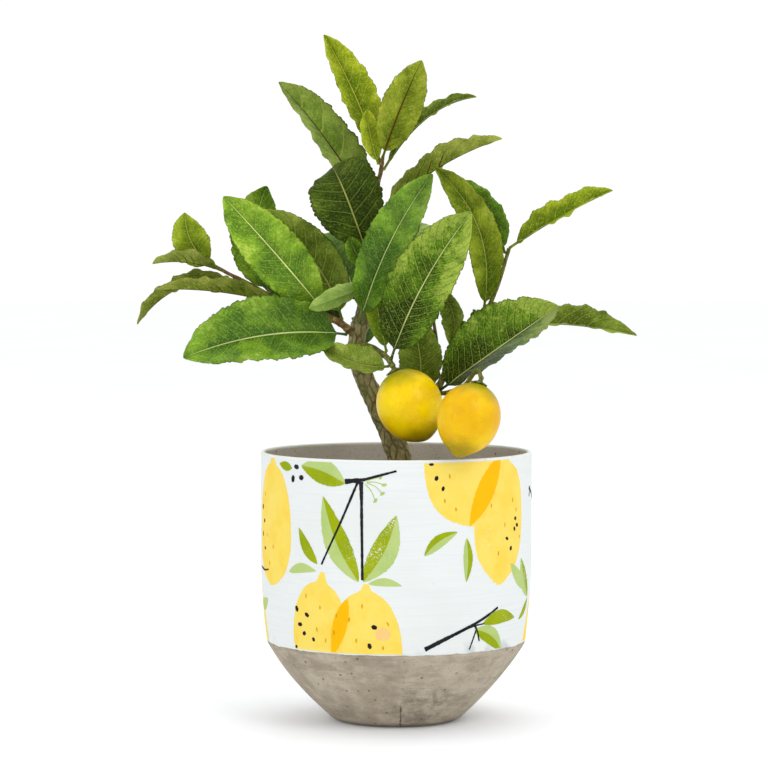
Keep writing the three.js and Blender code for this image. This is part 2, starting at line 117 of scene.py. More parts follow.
# ---- leaves: stem, where along it, tip, bow of the midrib, width, roll at foot and tip, fold,
# edge wave, finish, tone
LEAVES = {
    "top_left_leaf": ("top_stem", 0.9, (-43, 20, 247), (2, 7, 1), 26, 27, 27, 27, 0.7, "lime", 1.02),
    "top_centre_leaf": ("top_stem", 1, (15, -11, 230), (-1, -4, 0), 25, 172, 178, 8, 0.6, "lime", 1.0),
    "top_bud_leaf": ("top_stem", 0.85, (-17, 0, 202), (-2, 0, 1), 12, 10, 10, 10, 0.3, "lime", 1.05),
    "top_right_leaf": ("top_stem", 0.72, (48, 16, 210), (-2, 2, 9), 15, -58, -58, 30, 0.8, "olive", 1.0),
    "crown_left_leaf": ("trunk", 0.96, (-70, 22, 219), (2, 3, 2), 31, 146, 146, 32, 1, "brown", 1.0),
    # crown_dark_leaf: the dark family and a tone of 0.9 are painted shade, for a leaf that sits in shade
    "crown_dark_leaf": ("trunk", 0.82, (-38, 15, 168), (-3, -16, 10), 43, -4, -2, 6, 0.9, "dark", 0.9),
    "crown_right_leaf": ("trunk", 0.97, (63, 10, 185), (0, 0, 5), 22, -125, -125, 34, 1.3, "olive", 1.1),
    "heart_tall_leaf": ("trunk", 0.6, (21, -40, 163), (-4, -12, 3), 30, -20, -16, 20, 0.7, "bright", 0.92),
    "right_inner_leaf": ("right_spray_stem", 0.08, (22, -30, 167), (12, -3, 5), 22, 10, 20, 16, 1.3,
                         "lime", 0.68),
    "right_back_leaf": ("right_spray_stem", 0.94, (35, -6, 160), (4, 1, 3), 17, 30, 30, 20, 0.7,
                        "mid", 0.95),
    "right_tip_leaf": ("right_spray_stem", 1, (127, -14, 154), (0, 0, 2), 22, -55, -55, 32, 1.3,
                       "lime", 1.0),
    "low_right_leaf": ("low_branch", 0.49, (93, -62, 87), (1, -6, 1), 49, 36, 36, -34, 1.2, "net", 0.86),
    "far_right_leaf": ("low_branch", 0.96, (141, -20, 69), (0, 2, 4), 25, -55, -55, 32, 1.5, "olive", 1.05),
    "heart_wide_leaf": ("lemon_twig", 0.86, (43, -52, 141), (-4.5, -6, 1), 40, -18, -16, 18, 1,
                        "net", 0.96),
    "heart_behind_leaf": ("lemon_twig", 0.6, (-15, -1, 108), (0, 5, 0), 15, 0, 0, 10, 0.4, "lime", 0.9),
    "under_heart_leaf": ("low_branch", 0.3, (8, -12, 81), (3, -4, 0), 26, 5, 5, 10, 0.5, "olive", 0.95),
    "hanging_leaf": ("fruit_twig", 1, (32, -13, 62), (5, -5, 3), 15, 25, 25, 20, 0.3, "olive", 1.0),
    "left_wide_leaf": ("left_shoot", 0.62, (-100, -38, 150), (1, -3, 1), 33, -2, -2, 8, 0.8, "bright", 1.3),
    "left_second_leaf": ("left_shoot", 0.32, (-83, 0, 142), (8, 7, 4), 31, 0, 0, 8, 0.8, "olive", 0.95),
    "left_back_leaf": ("left_spray_stem", 0.36, (-77, 20, 157), (-8, 6, 0), 30, 0, 0, 8, 0.8, "mid", 0.95),
    "left_small_leaf": ("left_spray_stem", 1, (-125, 2, 141), (-4, 2, -3), 22, 0, 0, 8, 0.6, "lime", 0.95),
    "left_high_leaf": ("left_spray_stem", 0.86, (-143, -14, 111), (0, -4, 3), 15, 125, 125, 34, 0.8,
                       "olive", 1.0),
    "left_flat_leaf": ("left_spray_stem", 0.24, (-139, -16, 96), (0, -3, 3), 18, 125, 125, 34, 1.1,
                       "olive", 1.0),
    "left_low_leaf": ("left_spray_stem", 0.64, (-153, -4, 75), (-4, 4, 9), 15, 125, 125, 34, 0.9,
                      "olive", 0.92),
    # left_shade_leaf: the dark family and a tone of 0.9 are painted shade, for a leaf in shade behind the
    # others
    "left_shade_leaf": ("left_shoot", 0.14, (-85, 30, 108), (0, 9, 2), 27, 20, 20, 16, 0.6, "dark", 0.9),
    "big_left_leaf": ("left_shoot", 0.06, (-123, -46, 57), (0, -11, 6), 46, 26, 26, 26, 1.2,
                      "bright", 0.98),
    "pale_curl_leaf": ("trunk", 0.72, (-51, -33, 85), (2, -2, 1), 14, 150, 180, 24, 0.5, "pale", 1.0),
    "small_left_leaf": ("lemon_twig", 0.96, (-44, -20, 62), (2, -2, -4), 24, 45, 45, 24, 0.5, "olive", 0.9),
    "tiny_crown_leaf": ("trunk", 0.79, (-27, -10, 127), (-2, -3, -1), 12, 0, 0, 10, 0.3, "mid", 1.0),
    "rear_right_leaf": ("trunk", 0.73, (21, 92, 134), (0, 2, 9), 27, 14, 14, 12, 0.8, "net", 1.0),
    "rear_left_leaf": ("trunk", 0.65, (-48, 84, 128), (0, 2, 9), 27, -14, -14, 12, 0.8, "mid", 0.95),
    "rear_low_leaf": ("trunk", 0.5, (-2, 94, 69), (0, 2, 13), 26, 0, 0, 12, 0.8, "mid", 1.0),
}

# how each leaf differs from its family: warmer; lighter to one side, which paints light on one half of the
# leaf and shade on the other; lighter to the tip
TONES = {
    "top_left_leaf": (0.09, 0.06, 0.10), "top_centre_leaf": (0.07, 0.05, 0.0),
    "top_bud_leaf": (0.08, 0.0, 0.0), "left_wide_leaf": (0.07, -0.12, 0.06),
    "heart_wide_leaf": (0.03, 0.10, 0.12), "heart_tall_leaf": (0.0, -0.08, -0.10),
    "big_left_leaf": (0.02, -0.06, 0.12), "low_right_leaf": (0.03, -0.12, 0.05),
    "crown_dark_leaf": (0.04, -0.10, -0.08), "right_inner_leaf": (0.03, -0.12, -0.1),
    "right_tip_leaf": (0.07, 0.0, 0.1), "crown_right_leaf": (0.08, 0.0, 0.1),
    "crown_left_leaf": (0.05, 0.12, 0.0), "left_low_leaf": (0.08, 0.0, 0.0),
    "left_flat_leaf": (0.08, 0.0, 0.0), "left_high_leaf": (0.06, 0.0, 0.0),
    "far_right_leaf": (0.02, 0.1, 0.0), "left_second_leaf": (0.0, -0.1, 0.1),
    "left_small_leaf": (0.02, 0.0, 0.15), "left_back_leaf": (0.05, -0.1, 0.0),
}

# ---- the print, in millimetres round the wall from the front and up from the table
# lemons: centre, half width, half height, lean in degrees, neck height, nib height, pear share
PRINT_LEMONS = [
    (-90, 120, 21, 35, 3, 4, 2, 0.15), (-49.5, 62, 19, 27, 9, 6, 3, 0.10),
    (-18.5, 57, 21.5, 28, 2, 4, 4, 0.22), (41, 153, 25, 30, -12, 4, 3, 0.05),
    (69.5, 123.5, 22, 34, 4, 5, 4, 0.02), (124, 48, 19, 30, 12, 5, 3, 0.12),
]
# overlaps of two lemons, as lenses: end, other end, width
PRINT_LENSES = [((-29, 80), (-40, 46), 9), ((67, 160), (44, 121), 13)]
# two-tone leaves: foot, tip, width, curve, full colour on the left of the midrib (1) or right (-1)
PRINT_LEAVES = [
    ((-22, 90), (-44, 138), 15, 3, -1), ((-19, 90), (0, 128), 15, -3, 1),
    ((-30, 146), (-60, 155), 14, -2, 1), ((16, 105), (36, 118), 7, 2, 1),
    ((42, 114), (42, 89), 6, 1, 1), ((49, 61), (74, 46), 10, 3, -1),
    ((106, 75), (91, 99), 10, 2, -1),
]
# plain leaves: foot, tip, width, curve, ink
SLIM_LEAVES = [
    ((-48, 99), (-62, 119), 6.5, 1.5, "green"), ((-68, 153), (-80, 155), 5, 0, "green"),
    ((-71, 93), (-49, 95), 5.5, 2, "pale"), ((-16, 89), (3, 88), 4.5, 1.5, "pale"),
    ((78, 97), (106, 79), 8, -2, "pale"), ((107, 74), (92, 63), 4.5, 1, "green"),
    ((55, 64), (85, 65), 8, 2.5, "green"), ((-100, 74), (-122, 70), 7, 2, "pale"),
]
# brushed lines: points, then width at the two ends
PRINT_LINES = [
    (((-30, 147), (-25, 147.6), (-20, 148)), 3.0, 2.2), (((-20, 148), (-9, 151), (0, 153.4)), 1.7, 1.1),
    (((-22, 147.5), (-33, 123), (-45, 99)), 1.5, 1.1), (((-20, 147), (-20, 128), (-19.6, 91)), 1.7, 1.5),
    (((-20.4, 147), (-20.2, 141), (-20, 134)), 2.5, 1.7),
    (((17, 51), (28, 56), (39, 60.5), (54, 66.5), (67, 72.5)), 2.6, 1.2),
    (((48, 64.5), (51, 60), (53, 54)), 1.3, 0.9), (((50, 60.5), (48, 55), (46, 49.5)), 1.0, 0.8),
    (((44, 62), (50, 63.4), (56, 64)), 0.9, 0.7), (((107, 139), (114, 136), (122, 132)), 1.8, 1.1),
    (((107, 134), (109, 137), (110, 140)), 1.0, 0.7), (((-112, 92), (-104, 91), (-96, 92)), 1.4, 0.9),
]
# flower threads: points and width, each with a small oval at its end
PRINT_THREADS = [((-17, 147), (-12, 147), (-7, 145.5)), ((-17, 146.5), (-12, 144.5), (-8, 140.5)),
                 ((-18, 146), (-14.5, 142), (-12, 136.5)), ((-18, 147.5), (-13, 149), (-9, 150))]
# dots: place, half width, half height, lean
PRINT_DOTS = [
    (-64, 154, 1.9, 1.4, 25), (-67, 147, 1.5, 1.9, 0), (-60, 148, 1.9, 1.4, -20),
    (-65, 72, 1.3, 1.7, 0), (-57, 69, 1.6, 1.3, 20), (-63, 63, 1.6, 1.3, 0), (-60, 58, 1.3, 1.3, 0),
    (-68, 49.5, 1.1, 0.9, 0), (-13, 64, 1.9, 1.2, 15), (-16, 53, 1.3, 1.6, 0), (-53, 55, 1.0, 1.3, 0),
    (20, 157, 1.3, 0.9, 0), (23, 149, 1.1, 1.5, 0), (27, 143, 1.0, 1.3, 0), (83, 123, 1.3, 1.0, 0),
    (85, 119, 1.4, 1.1, 0), (82, 117, 1.0, 1.3, 0), (74, 112, 1.3, 1.0, 20), (78, 106, 1.1, 1.4, 0),
    (-106, 128, 1.2, 1.5, 0), (-103, 120, 1.4, 1.1, 0), (-107, 112, 1.1, 1.4, 0), (-102, 104, 1.4, 1.0, 0),
]
# small dashes of ochre: place and lean
PRINT_DASHES = [
    (-38, 60, 70), (-44, 55, 80), (-50, 61, 60), (-36, 70, 75), (-47, 74, 85), (-8, 52, 60),
    (-24, 56, 75), (-28, 68, 80), (-5, 66, 20), (31, 150, 70), (28, 136, 80), (35, 131, 65),
    (84, 128, 75), (80, 134, 80), (72, 120, 60), (66, 104, 80), (-94, 96, 75), (-98, 112, 80),
    (-88, 106, 70), (-101, 136, 80), (-57, 80, 70), (-20, 76, 75), (60, 132, 80), (88, 112, 75),
]
# each ink's colour, the colour of its clouds, and how high the noise must be to lay the ground bare
INKS = {
    "ink_yellow": ("edd566", "edcc4e", 0.72), "ink_orange": ("f2b600", "eeb000", 0.80),
    "ink_pale_green": ("b4c67c", "a8bf70", 0.69), "ink_green": ("9aa808", "8a9c04", 0.64),
    "ink_peach": ("f0c480", "ecc070", 0.66), "ink_ochre": ("dca21a", "c98f10", 0.80),
    "ink_black": ("17171b", "28282c", 0.76),
}
INK_HEIGHT = 0.0001  # how thick a layer of ink is, in metres
BACK = np.pi * POT_RADIUS  # the whole layout is printed once more, half a turn round


# ------------------------------------------------------------------ shapes as arrays
def ripple(seed, size, *axes):
    """Smooth noise from -1 to 1: the mean of nine sine waves, each along its own random direction,
    with lengths from size to a third of it."""
    rng = np.random.RandomState(seed)
    total = 0.0
    for wave in range(9):
        direction = rng.normal(size=len(axes))
        direction /= np.linalg.norm(direction)
        pitch = size / (1 + 2 * wave / 8)
        along = sum(d * a for d, a in zip(direction, axes))
        total = total + np.sin(TURN * along / pitch + rng.uniform(0, TURN))
    return total / 9 * 1.8


def smooth_step(low, high, value):
    """0 below low, 1 above high, and the cubic 3t2 - 2t3 between them."""
    t = np.clip((value - low) / (high - low), 0, 1)
    return t * t * (3 - 2 * t)


def unit(vectors):
    """Vectors divided by their lengths."""
    return vectors / np.maximum(np.linalg.norm(vectors, axis=-1, keepdims=True), 1e-9)


def full_turn(count):
    """Angles evenly spaced round a whole turn."""
    return np.linspace(0, TURN, count, endpoint=False)


def about_z(radius, angle, height):
    """Points at a radius and a height, at an angle about Z that starts at the front."""
    x, y = radius * np.sin(angle), -radius * np.cos(angle)
    return np.stack(np.broadcast_arrays(x, y, height), -1)


def leaned(x, z, lean):
    """Flat points turned clockwise by an angle in degrees."""
    tilt = np.radians(lean)
    return np.stack([x * np.cos(tilt) + z * np.sin(tilt), z * np.cos(tilt) - x * np.sin(tilt)], -1)


def wall_radius(z):
    """Outside radius of the pot at height z: straight, then a parabola in to the shoulder, then a
    bowl that closes as 1.33 t - 0.33 t2."""
    z = np.asarray(z, float)
    start = RIM_HEIGHT - TAPER_START
    drop = np.clip((start - z) / (start - SHOULDER_Z), 0, 1)
    wall = POT_RADIUS - SHOULDER_INSET * drop ** 2
    up = np.clip(z / SHOULDER_Z, 0, 1)
    shoulder = POT_RADIUS - SHOULDER_INSET
    foot = BASE_RADIUS + (shoulder - BASE_RADIUS) * (1.33 * up - 0.33 * up ** 2)
    return np.where(z >= SHOULDER_Z, wall, foot)


def inner_radius(z):
    """Inside radius of the pot at height z: the wall thins evenly from the floor to the rim."""
    share = (RIM_HEIGHT - np.asarray(z, float)) / (RIM_HEIGHT - FLOOR_Z)
    return wall_radius(z) - RIM_WALL - (FLOOR_WALL - RIM_WALL) * share


def curve_at(points, u):
    """Points and directions on the smooth curve through points: a cubic between each two, whose
    slope at a point is half the step from the one before it to the one after."""
    p = np.asarray(points, float)
    p = np.vstack([2 * p[0] - p[1], p, 2 * p[-1] - p[-2]])
    spans = len(p) - 3
    u = np.clip(np.asarray(u, float), 0, 1) * spans
    i = np.minimum(u.astype(int), spans - 1)
    t = (u - i)[..., None]
    p0, p1, p2, p3 = p[i], p[i + 1], p[i + 2], p[i + 3]
    m1, m2 = (p2 - p0) / 2, (p3 - p1) / 2
    place = ((2 * t ** 3 - 3 * t ** 2 + 1) * p1 + (t ** 3 - 2 * t ** 2 + t) * m1
             + (3 * t ** 2 - 2 * t ** 3) * p2 + (t ** 3 - t ** 2) * m2)
    slope = ((6 * t ** 2 - 6 * t) * (p1 - p2) + (3 * t ** 2 - 4 * t + 1) * m1
             + (3 * t ** 2 - 2 * t) * m2)
    return place, unit(slope)


def grid_quads(rows, columns, close_rows=False, close_columns=False):
    """Corner numbers of the quads of a rows by columns grid of points, joined end to end if closed."""
    i = np.arange(rows if close_rows else rows - 1)[:, None]
    j = np.arange(columns if close_columns else columns - 1)[None, :]
    i2, j2 = (i + 1) % rows, (j + 1) % columns
    corners = [i * columns + j, i * columns + j2, i2 * columns + j2, i2 * columns + j]
    return np.stack([np.broadcast_to(c, (i.size, j.size)) for c in corners], -1).reshape(-1, 4)


class Shell:
    """Points in millimetres with their quads and triangles, and any values that go with the points."""

    def __init__(self, points, quads, tris=None, **values):
        self.points = np.asarray(points, float).reshape(-1, 3)
        self.quads = np.asarray(quads, int).reshape(-1, 4)
        self.tris = np.zeros((0, 3), int) if tris is None else np.asarray(tris, int).reshape(-1, 3)
        self.values = values

    def outward(self):
        """Turns every face round if the signed volume, a third of the sum of a.(b x c), is negative."""
        tris = np.vstack([self.quads[:, [0, 1, 2]], self.quads[:, [0, 2, 3]], self.tris])
        a, b, c = (self.points[tris[:, k]] for k in range(3))
        if np.einsum("ij,ij->i", a, np.cross(b, c)).sum() < 0:
            self.quads, self.tris = self.quads[:, ::-1], self.tris[:, ::-1]
        return self


def joined(shells):
    """One shell holding several."""
    starts = np.cumsum([0] + [len(s.points) for s in shells[:-1]])
    keys = shells[0].values
    return Shell(np.vstack([s.points for s in shells]),
                 np.vstack([s.quads + n for s, n in zip(shells, starts)]),
                 np.vstack([s.tris + n for s, n in zip(shells, starts)]),
                 **{k: np.concatenate([s.values[k] for s in shells]) for k in keys})


def capped_tube(rings):
    """Closed skin over rings, an array of rows by columns by 3, whose ends fan in to their middles."""
    rows, columns = rings.shape[:2]
    ends = np.array([rings[0].mean(0), rings[-1].mean(0)])
    first, last = rows * columns, rows * columns + 1
    j = np.arange(columns)
    j2 = (j + 1) % columns
    base = (rows - 1) * columns
    fans = np.vstack([np.stack([np.full(columns, first), j2, j], -1),
                      np.stack([np.full(columns, last), base + j, base + j2], -1)])
    return Shell(np.vstack([rings.reshape(-1, 3), ends]),
                 grid_quads(rows, columns, close_columns=True), fans)


def spun(profile, turns, unevenness, seed):
    """Surface swept by a profile of radius and height about Z, closed on the axis at both ends, each
    radius moved in or out by a smooth noise of that many millimetres."""
    profile = np.asarray(profile, float)
    radius = profile[1:-1, :1]
    rings = about_z(radius, full_turn(turns), profile[1:-1, 1:])
    swell = 1 + unevenness * ripple(seed, CAST_WANDER, *np.moveaxis(rings, -1, 0)) / np.maximum(radius, 20)
    rings[..., :2] *= swell[..., None]
    shell = capped_tube(rings)
    shell.points[-2] = (0, 0, profile[0, 1])
    shell.points[-1] = (0, 0, profile[-1, 1])
    return shell.outward()


def path_tube(path, along, radii, sides):
    """Round tube: a ring about each point of the path, square to its direction there."""
    reference = np.array([0.0, 1.0, 0.0]) * np.ones_like(along)
    across = unit(reference - along * np.sum(reference * along, -1, keepdims=True))
    other = np.cross(along, across)
    turn = full_turn(sides)
    ring = np.cos(turn)[None, :, None] * across[:, None] + np.sin(turn)[None, :, None] * other[:, None]
    return path[:, None] + ring * np.asarray(radii)[..., None]


# ------------------------------------------------------------------ meshes and pieces
def mesh_object(name, shell, materials, sharp=None, face_material=None):
    """Writes a shell's arrays into a new object's mesh, in metres, smooth except past the sharp angle."""
    mesh = bpy.data.meshes.new(name)
    corners = np.concatenate([shell.quads.ravel(), shell.tris.ravel()]).astype(np.int32)
    starts = np.concatenate([np.arange(len(shell.quads)) * 4,
                             shell.quads.size + np.arange(len(shell.tris)) * 3]).astype(np.int32)
    mesh.vertices.add(len(shell.points))
    mesh.vertices.foreach_set("co", (shell.points * MM).astype(np.float32).ravel())
    mesh.loops.add(len(corners))
    mesh.loops.foreach_set("vertex_index", corners)
    mesh.polygons.add(len(starts))
    mesh.polygons.foreach_set("loop_start", starts)
    if face_material is not None:
        mesh.polygons.foreach_set("material_index", face_material.astype(np.int32))
    mesh.update(calc_edges=True)
    mesh.shade_smooth()
    if sharp:
        mesh.set_sharp_from_angle(angle=np.radians(sharp))
    if "uv" in shell.values:
        layer = mesh.uv_layers.new(name="leaf")
        layer.uv.foreach_set("vector", shell.values["uv"][corners].astype(np.float32).ravel())
    for material in materials:
        mesh.materials.append(material)
    thing = bpy.data.objects.new(name, mesh)
    bpy.context.scene.collection.objects.link(thing)
    return thing


def fitted(thing, body, slot, *nodes):
    """Rides the piece on its body and hides the CAD nodes that it stands for. Its slot is not used."""
    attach(thing, body)
    if nodes:
        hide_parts(*nodes)
    return thing


def rgb(code):
    """A colour written as RRGGBB, as linear red, green, blue and 1."""
    value = np.array([int(code[i:i + 2], 16) for i in (0, 2, 4)]) / 255
    linear = np.where(value <= 0.04045, value / 12.92, ((value + 0.055) / 1.055) ** 2.4)
    return (*linear, 1.0)


class Finish:
    """A node material being put together: each method adds one node and gives back its output."""

    def __init__(self, name, roughness=0.6, specular=0.5):
        self.material = bpy.data.materials.new(name)
        self.material.use_nodes = True
        self.tree = self.material.node_tree
        self.shader = self.tree.nodes["Principled BSDF"]
        self.shader.inputs["Roughness"].default_value = roughness
        self.shader.inputs["Specular IOR Level"].default_value = specular
        self.place = self.tree.nodes.new("ShaderNodeTexCoord").outputs["Object"]

    def link(self, socket, value):
        if isinstance(value, bpy.types.NodeSocket):
            self.tree.links.new(value, socket)
        else:
            socket.default_value = value

    def node(self, kind, result, inputs, **settings):
        made = self.tree.nodes.new("ShaderNode" + kind)
        for key, value in settings.items():
            setattr(made, key, value)
        for key, value in inputs.items():
            self.link(made.inputs[key], value)
        return made.outputs[result]

    def scaled(self, x, y, z):
        """Object coordinates stretched by a factor each way."""
        return self.node("Mapping", "Vector", {"Vector": self.place, "Scale": (x, y, z)})

    def noise(self, scale, detail=4.0, rough=0.6, where=None):
        return self.node("TexNoise", "Fac", {"Vector": where or self.place, "Scale": scale,
                                             "Detail": detail, "Roughness": rough})

    def cells(self, scale, result="Distance", where=None, feature="F1"):
        return self.node("TexVoronoi", result, {"Vector": where or self.place, "Scale": scale},
                         feature=feature)

    def parts(self, vector, axes="XYZ"):
        """The named parts of a vector."""
        return [self.node("SeparateXYZ", axis, {"Vector": vector}) for axis in axes]

    def math(self, operation, a, b=0.0):
        return self.node("Math", "Value", {0: a, 1: b}, operation=operation)

    def plus(self, a, b):
        return self.math("ADD", a, b)

    def minus(self, a, b):
        return self.math("SUBTRACT", a, b)

    def times(self, first, *others):
        """The product of all its values."""
        for other in others:
            first = self.math("MULTIPLY", first, other)
        return first

    def vector(self, operation, result, a, b):
        return self.node("VectorMath", result, {0: a, 1: tuple(b)}, operation=operation)

    def wander(self, scale, reach, detail=3, rough=0.6):
        """Noise either side of 0."""
        return self.times(self.minus(self.noise(scale, detail, rough), 0.5), reach)

    def pits(self, scale, size, rare, where=None):
        """1 inside round pits, in the few cells whose random colour lies above rare, 0 elsewhere."""
        pit = self.band(self.cells(scale, where=where), *size, 1, 0)
        red = self.node("SeparateColor", "Red", {"Color": self.cells(scale, "Color", where)})
        return self.times(pit, self.band(red, *rare))

    def band(self, value, low, high, to_low=0.0, to_high=1.0):
        """value carried from low..high to to_low..to_high with soft ends."""
        return self.node("MapRange", "Result", {"Value": value, "From Min": low, "From Max": high,
                                                "To Min": to_low, "To Max": to_high},
                         interpolation_type="SMOOTHSTEP")

    def mix(self, amount, a, b, blend="MIX"):
        made = self.tree.nodes.new("ShaderNodeMix")
        made.data_type, made.blend_type = "RGBA", blend
        for socket, value in ((0, amount), (6, a), (7, b)):
            self.link(made.inputs[socket], value)
        return made.outputs[2]

    def stained(self, colour, code, value, low, high, most=1.0):
        """colour with another one laid over it, up to the share most, where value goes from low to high."""
        return self.mix(self.band(value, low, high, 0, most), colour, rgb(code))

    def colour(self, value):
        self.link(self.shader.inputs["Base Color"], value)

    def rough(self, value):
        self.link(self.shader.inputs["Roughness"], value)

    def bump(self, height, distance, strength=1.0, after=None):
        inputs = {"Height": height, "Distance": distance * MM, "Strength": strength}
        if after:
            inputs["Normal"] = after
        made = self.node("Bump", "Normal", inputs)
        self.link(self.shader.inputs["Normal"], made)
        return made


def settings():
    """The add-on's sizes and colours."""
    return bpy.context.scene.lemon_pot


# ------------------------------------------------------------------ finishes
def cement_finish():
    """Cast cement: warm grey in clouds of three sizes, streaks and a damp patch on the foot, a short crack
    up from the table, a paler inside, which starts where the radius falls short of the bowl's, fine grains
    and open pits, a coated lip, and a painted contact shadow, darker in the lowest millimetres where it
    stands."""
    f = Finish("cast_cement", 0.88, 0.25)
    pot = settings().pot
    x, y, z = f.parts(f.place)
    cloud = f.band(f.noise(22, 5, 0.62), 0.34, 0.68)
    colour = f.mix(cloud, rgb("9b8f7d"), (*pot.cement[:], 1))
    colour = f.stained(colour, "c4b9a6", f.noise(95, 4, 0.65), 0.35, 0.7, 0.55)
    streak = f.band(f.noise(44, 5, 0.6, f.scaled(1, 1, 2.6)), 0.50, 0.72, 0, 0.5)
    colour = f.mix(f.times(streak, f.band(z, 0.060, 0.025, 0.25, 1)), colour, rgb("7c705e"))
    colour = f.stained(colour, "8b806e", f.noise(120, 5, 0.7, f.scaled(0.45, 0.45, 3.2)), 0.46, 0.70, 0.45)
    damp = f.times(f.band(z, 0.020, 0.046), f.band(x, 0.045, -0.035),
                   f.band(f.noise(80, 5, 0.65, f.scaled(0.6, 0.6, 1.8)), 0.40, 0.64, 0, 0.55))
    colour = f.mix(damp, colour, rgb("857b6c"))
    here = f.vector("DISTANCE", "Value", f.place, (0.016, -0.048, 0.013))
    patch = f.times(f.band(here, 0.026, 0.010), f.band(f.noise(130, 5, 0.7), 0.42, 0.60, 0, 0.6))
    colour = f.mix(patch, colour, rgb("6f6454"))
    line = f.math("ABSOLUTE", f.minus(f.plus(x, f.wander(300, 0.003)), 0.0025))
    crack = f.times(f.band(line, 0.0003, 0.0006, 1, 0), f.band(z, 0.017, 0.013),
                    f.band(y, -0.02, -0.03), 0.8)
    colour = f.mix(crack, colour, rgb("4a4136"))
    colour = f.stained(colour, "8a7f70", f.noise(52, 4, 0.6, f.scaled(1, 1, 1.6)), 0.54, 0.74, 0.5)
    radius = f.math("SQRT", f.plus(f.times(x, x), f.times(y, y)))
    up = f.math("MINIMUM", f.math("DIVIDE", z, SHOULDER_Z * MM), 1.0)
    bowl = f.times(up, f.minus(1.33, f.times(up, 0.33)), (POT_RADIUS - SHOULDER_INSET - BASE_RADIUS) * MM)
    deep = f.band(f.minus(f.plus(bowl, BASE_RADIUS * MM), radius), 0.0014, 0.0022)
    over = f.band(z, (SHOULDER_Z + 3) * MM, (SHOULDER_Z + 4) * MM)
    inside = f.times(f.math("MAXIMUM", deep, over), f.band(z, 0.010, 0.014), 0.6)
    colour = f.mix(inside, colour, rgb("d2cabd"))
    grain = f.noise(620, 3, 0.7)
    colour = f.mix(f.band(grain, 0.30, 0.42, 0.55, 0), colour, rgb("6d655b"))
    pit = f.pits(300, (0.10, 0.30), (0.86, 0.90), f.vector("ADD", "Vector", f.place, (0.002, 0.002, 0.002)))
    colour = f.mix(f.times(pit, 0.75), colour, rgb("5d564d"))
    lip = f.times(f.band(z, 0.1576, 0.1582), f.band(radius, 0.0774, 0.0782))
    colour = f.mix(lip, colour, rgb("e6e8e4"))
    # painted contact shadow: darker in the lowest 3 mm, where the pot stands on the floor
    colour = f.mix(f.band(z, 0.0008, 0.0034, 0.55, 0), colour, rgb("54493c"))
    f.colour(colour)
    f.rough(f.band(cloud, 0, 1, 0.95, 0.8))
    first = f.bump(f.noise(180, 6, 0.7), 0.5, 0.7)
    f.bump(f.minus(grain, f.times(pit, 2.5)), 0.35, 0.8, first)
    return f.material


def ground_finish():
    """Printed ground: cool white, faint brush lines round the pot, pinholes, and grey smears low down."""
    f = Finish("printed_ground", 0.66, 0.2)
    tint = (*settings().band.ground[:], 1)
    lines = f.noise(30, 4, 0.65, f.scaled(0.6, 0.6, 26))
    colour = f.stained(tint, "d3dade", lines, 0.35, 0.7, 0.5)
    colour = f.stained(colour, "d8dcd8", f.noise(16, 3, 0.5), 0.5, 0.75, 0.6)
    low = f.band(*f.parts(f.place, "Z"), 0.0560, 0.0475)
    smear = f.times(low, f.band(f.noise(60, 4, 0.6), 0.52, 0.66, 0, 0.65))
    colour = f.mix(smear, colour, rgb("aeb6b8"))
    colour = f.mix(f.pits(190, (0.03, 0.07), (0.93, 0.95)), colour, rgb("9aa0a0"))
    f.colour(colour)
    f.bump(f.plus(lines, f.noise(420, 3, 0.6)), 0.10, 0.35)
    return f.material


def ink_finish(name, code, second, ragged):
    """Printed ink: its colour in soft clouds with a second one, dry-brushed so the ground shows through
    in specks, where a fine noise, gathered by a coarse one, is over ragged."""
    f = Finish(name, 0.66, 0.1)
    colour = f.stained(rgb(code), second, f.noise(70, 4, 0.6), 0.35, 0.7)
    colour = f.stained(colour, second, f.noise(900, 2, 0.7), 0.3, 0.7, 0.22)
    specks = f.plus(f.noise(1100, 3, 0.75), f.wander(38, 0.55, 2, 0.5))
    f.colour(f.stained(colour, "dee1dc", specks, ragged, ragged + 0.05))
    f.bump(f.noise(500, 3, 0.6), 0.08, 0.4)
    return f.material


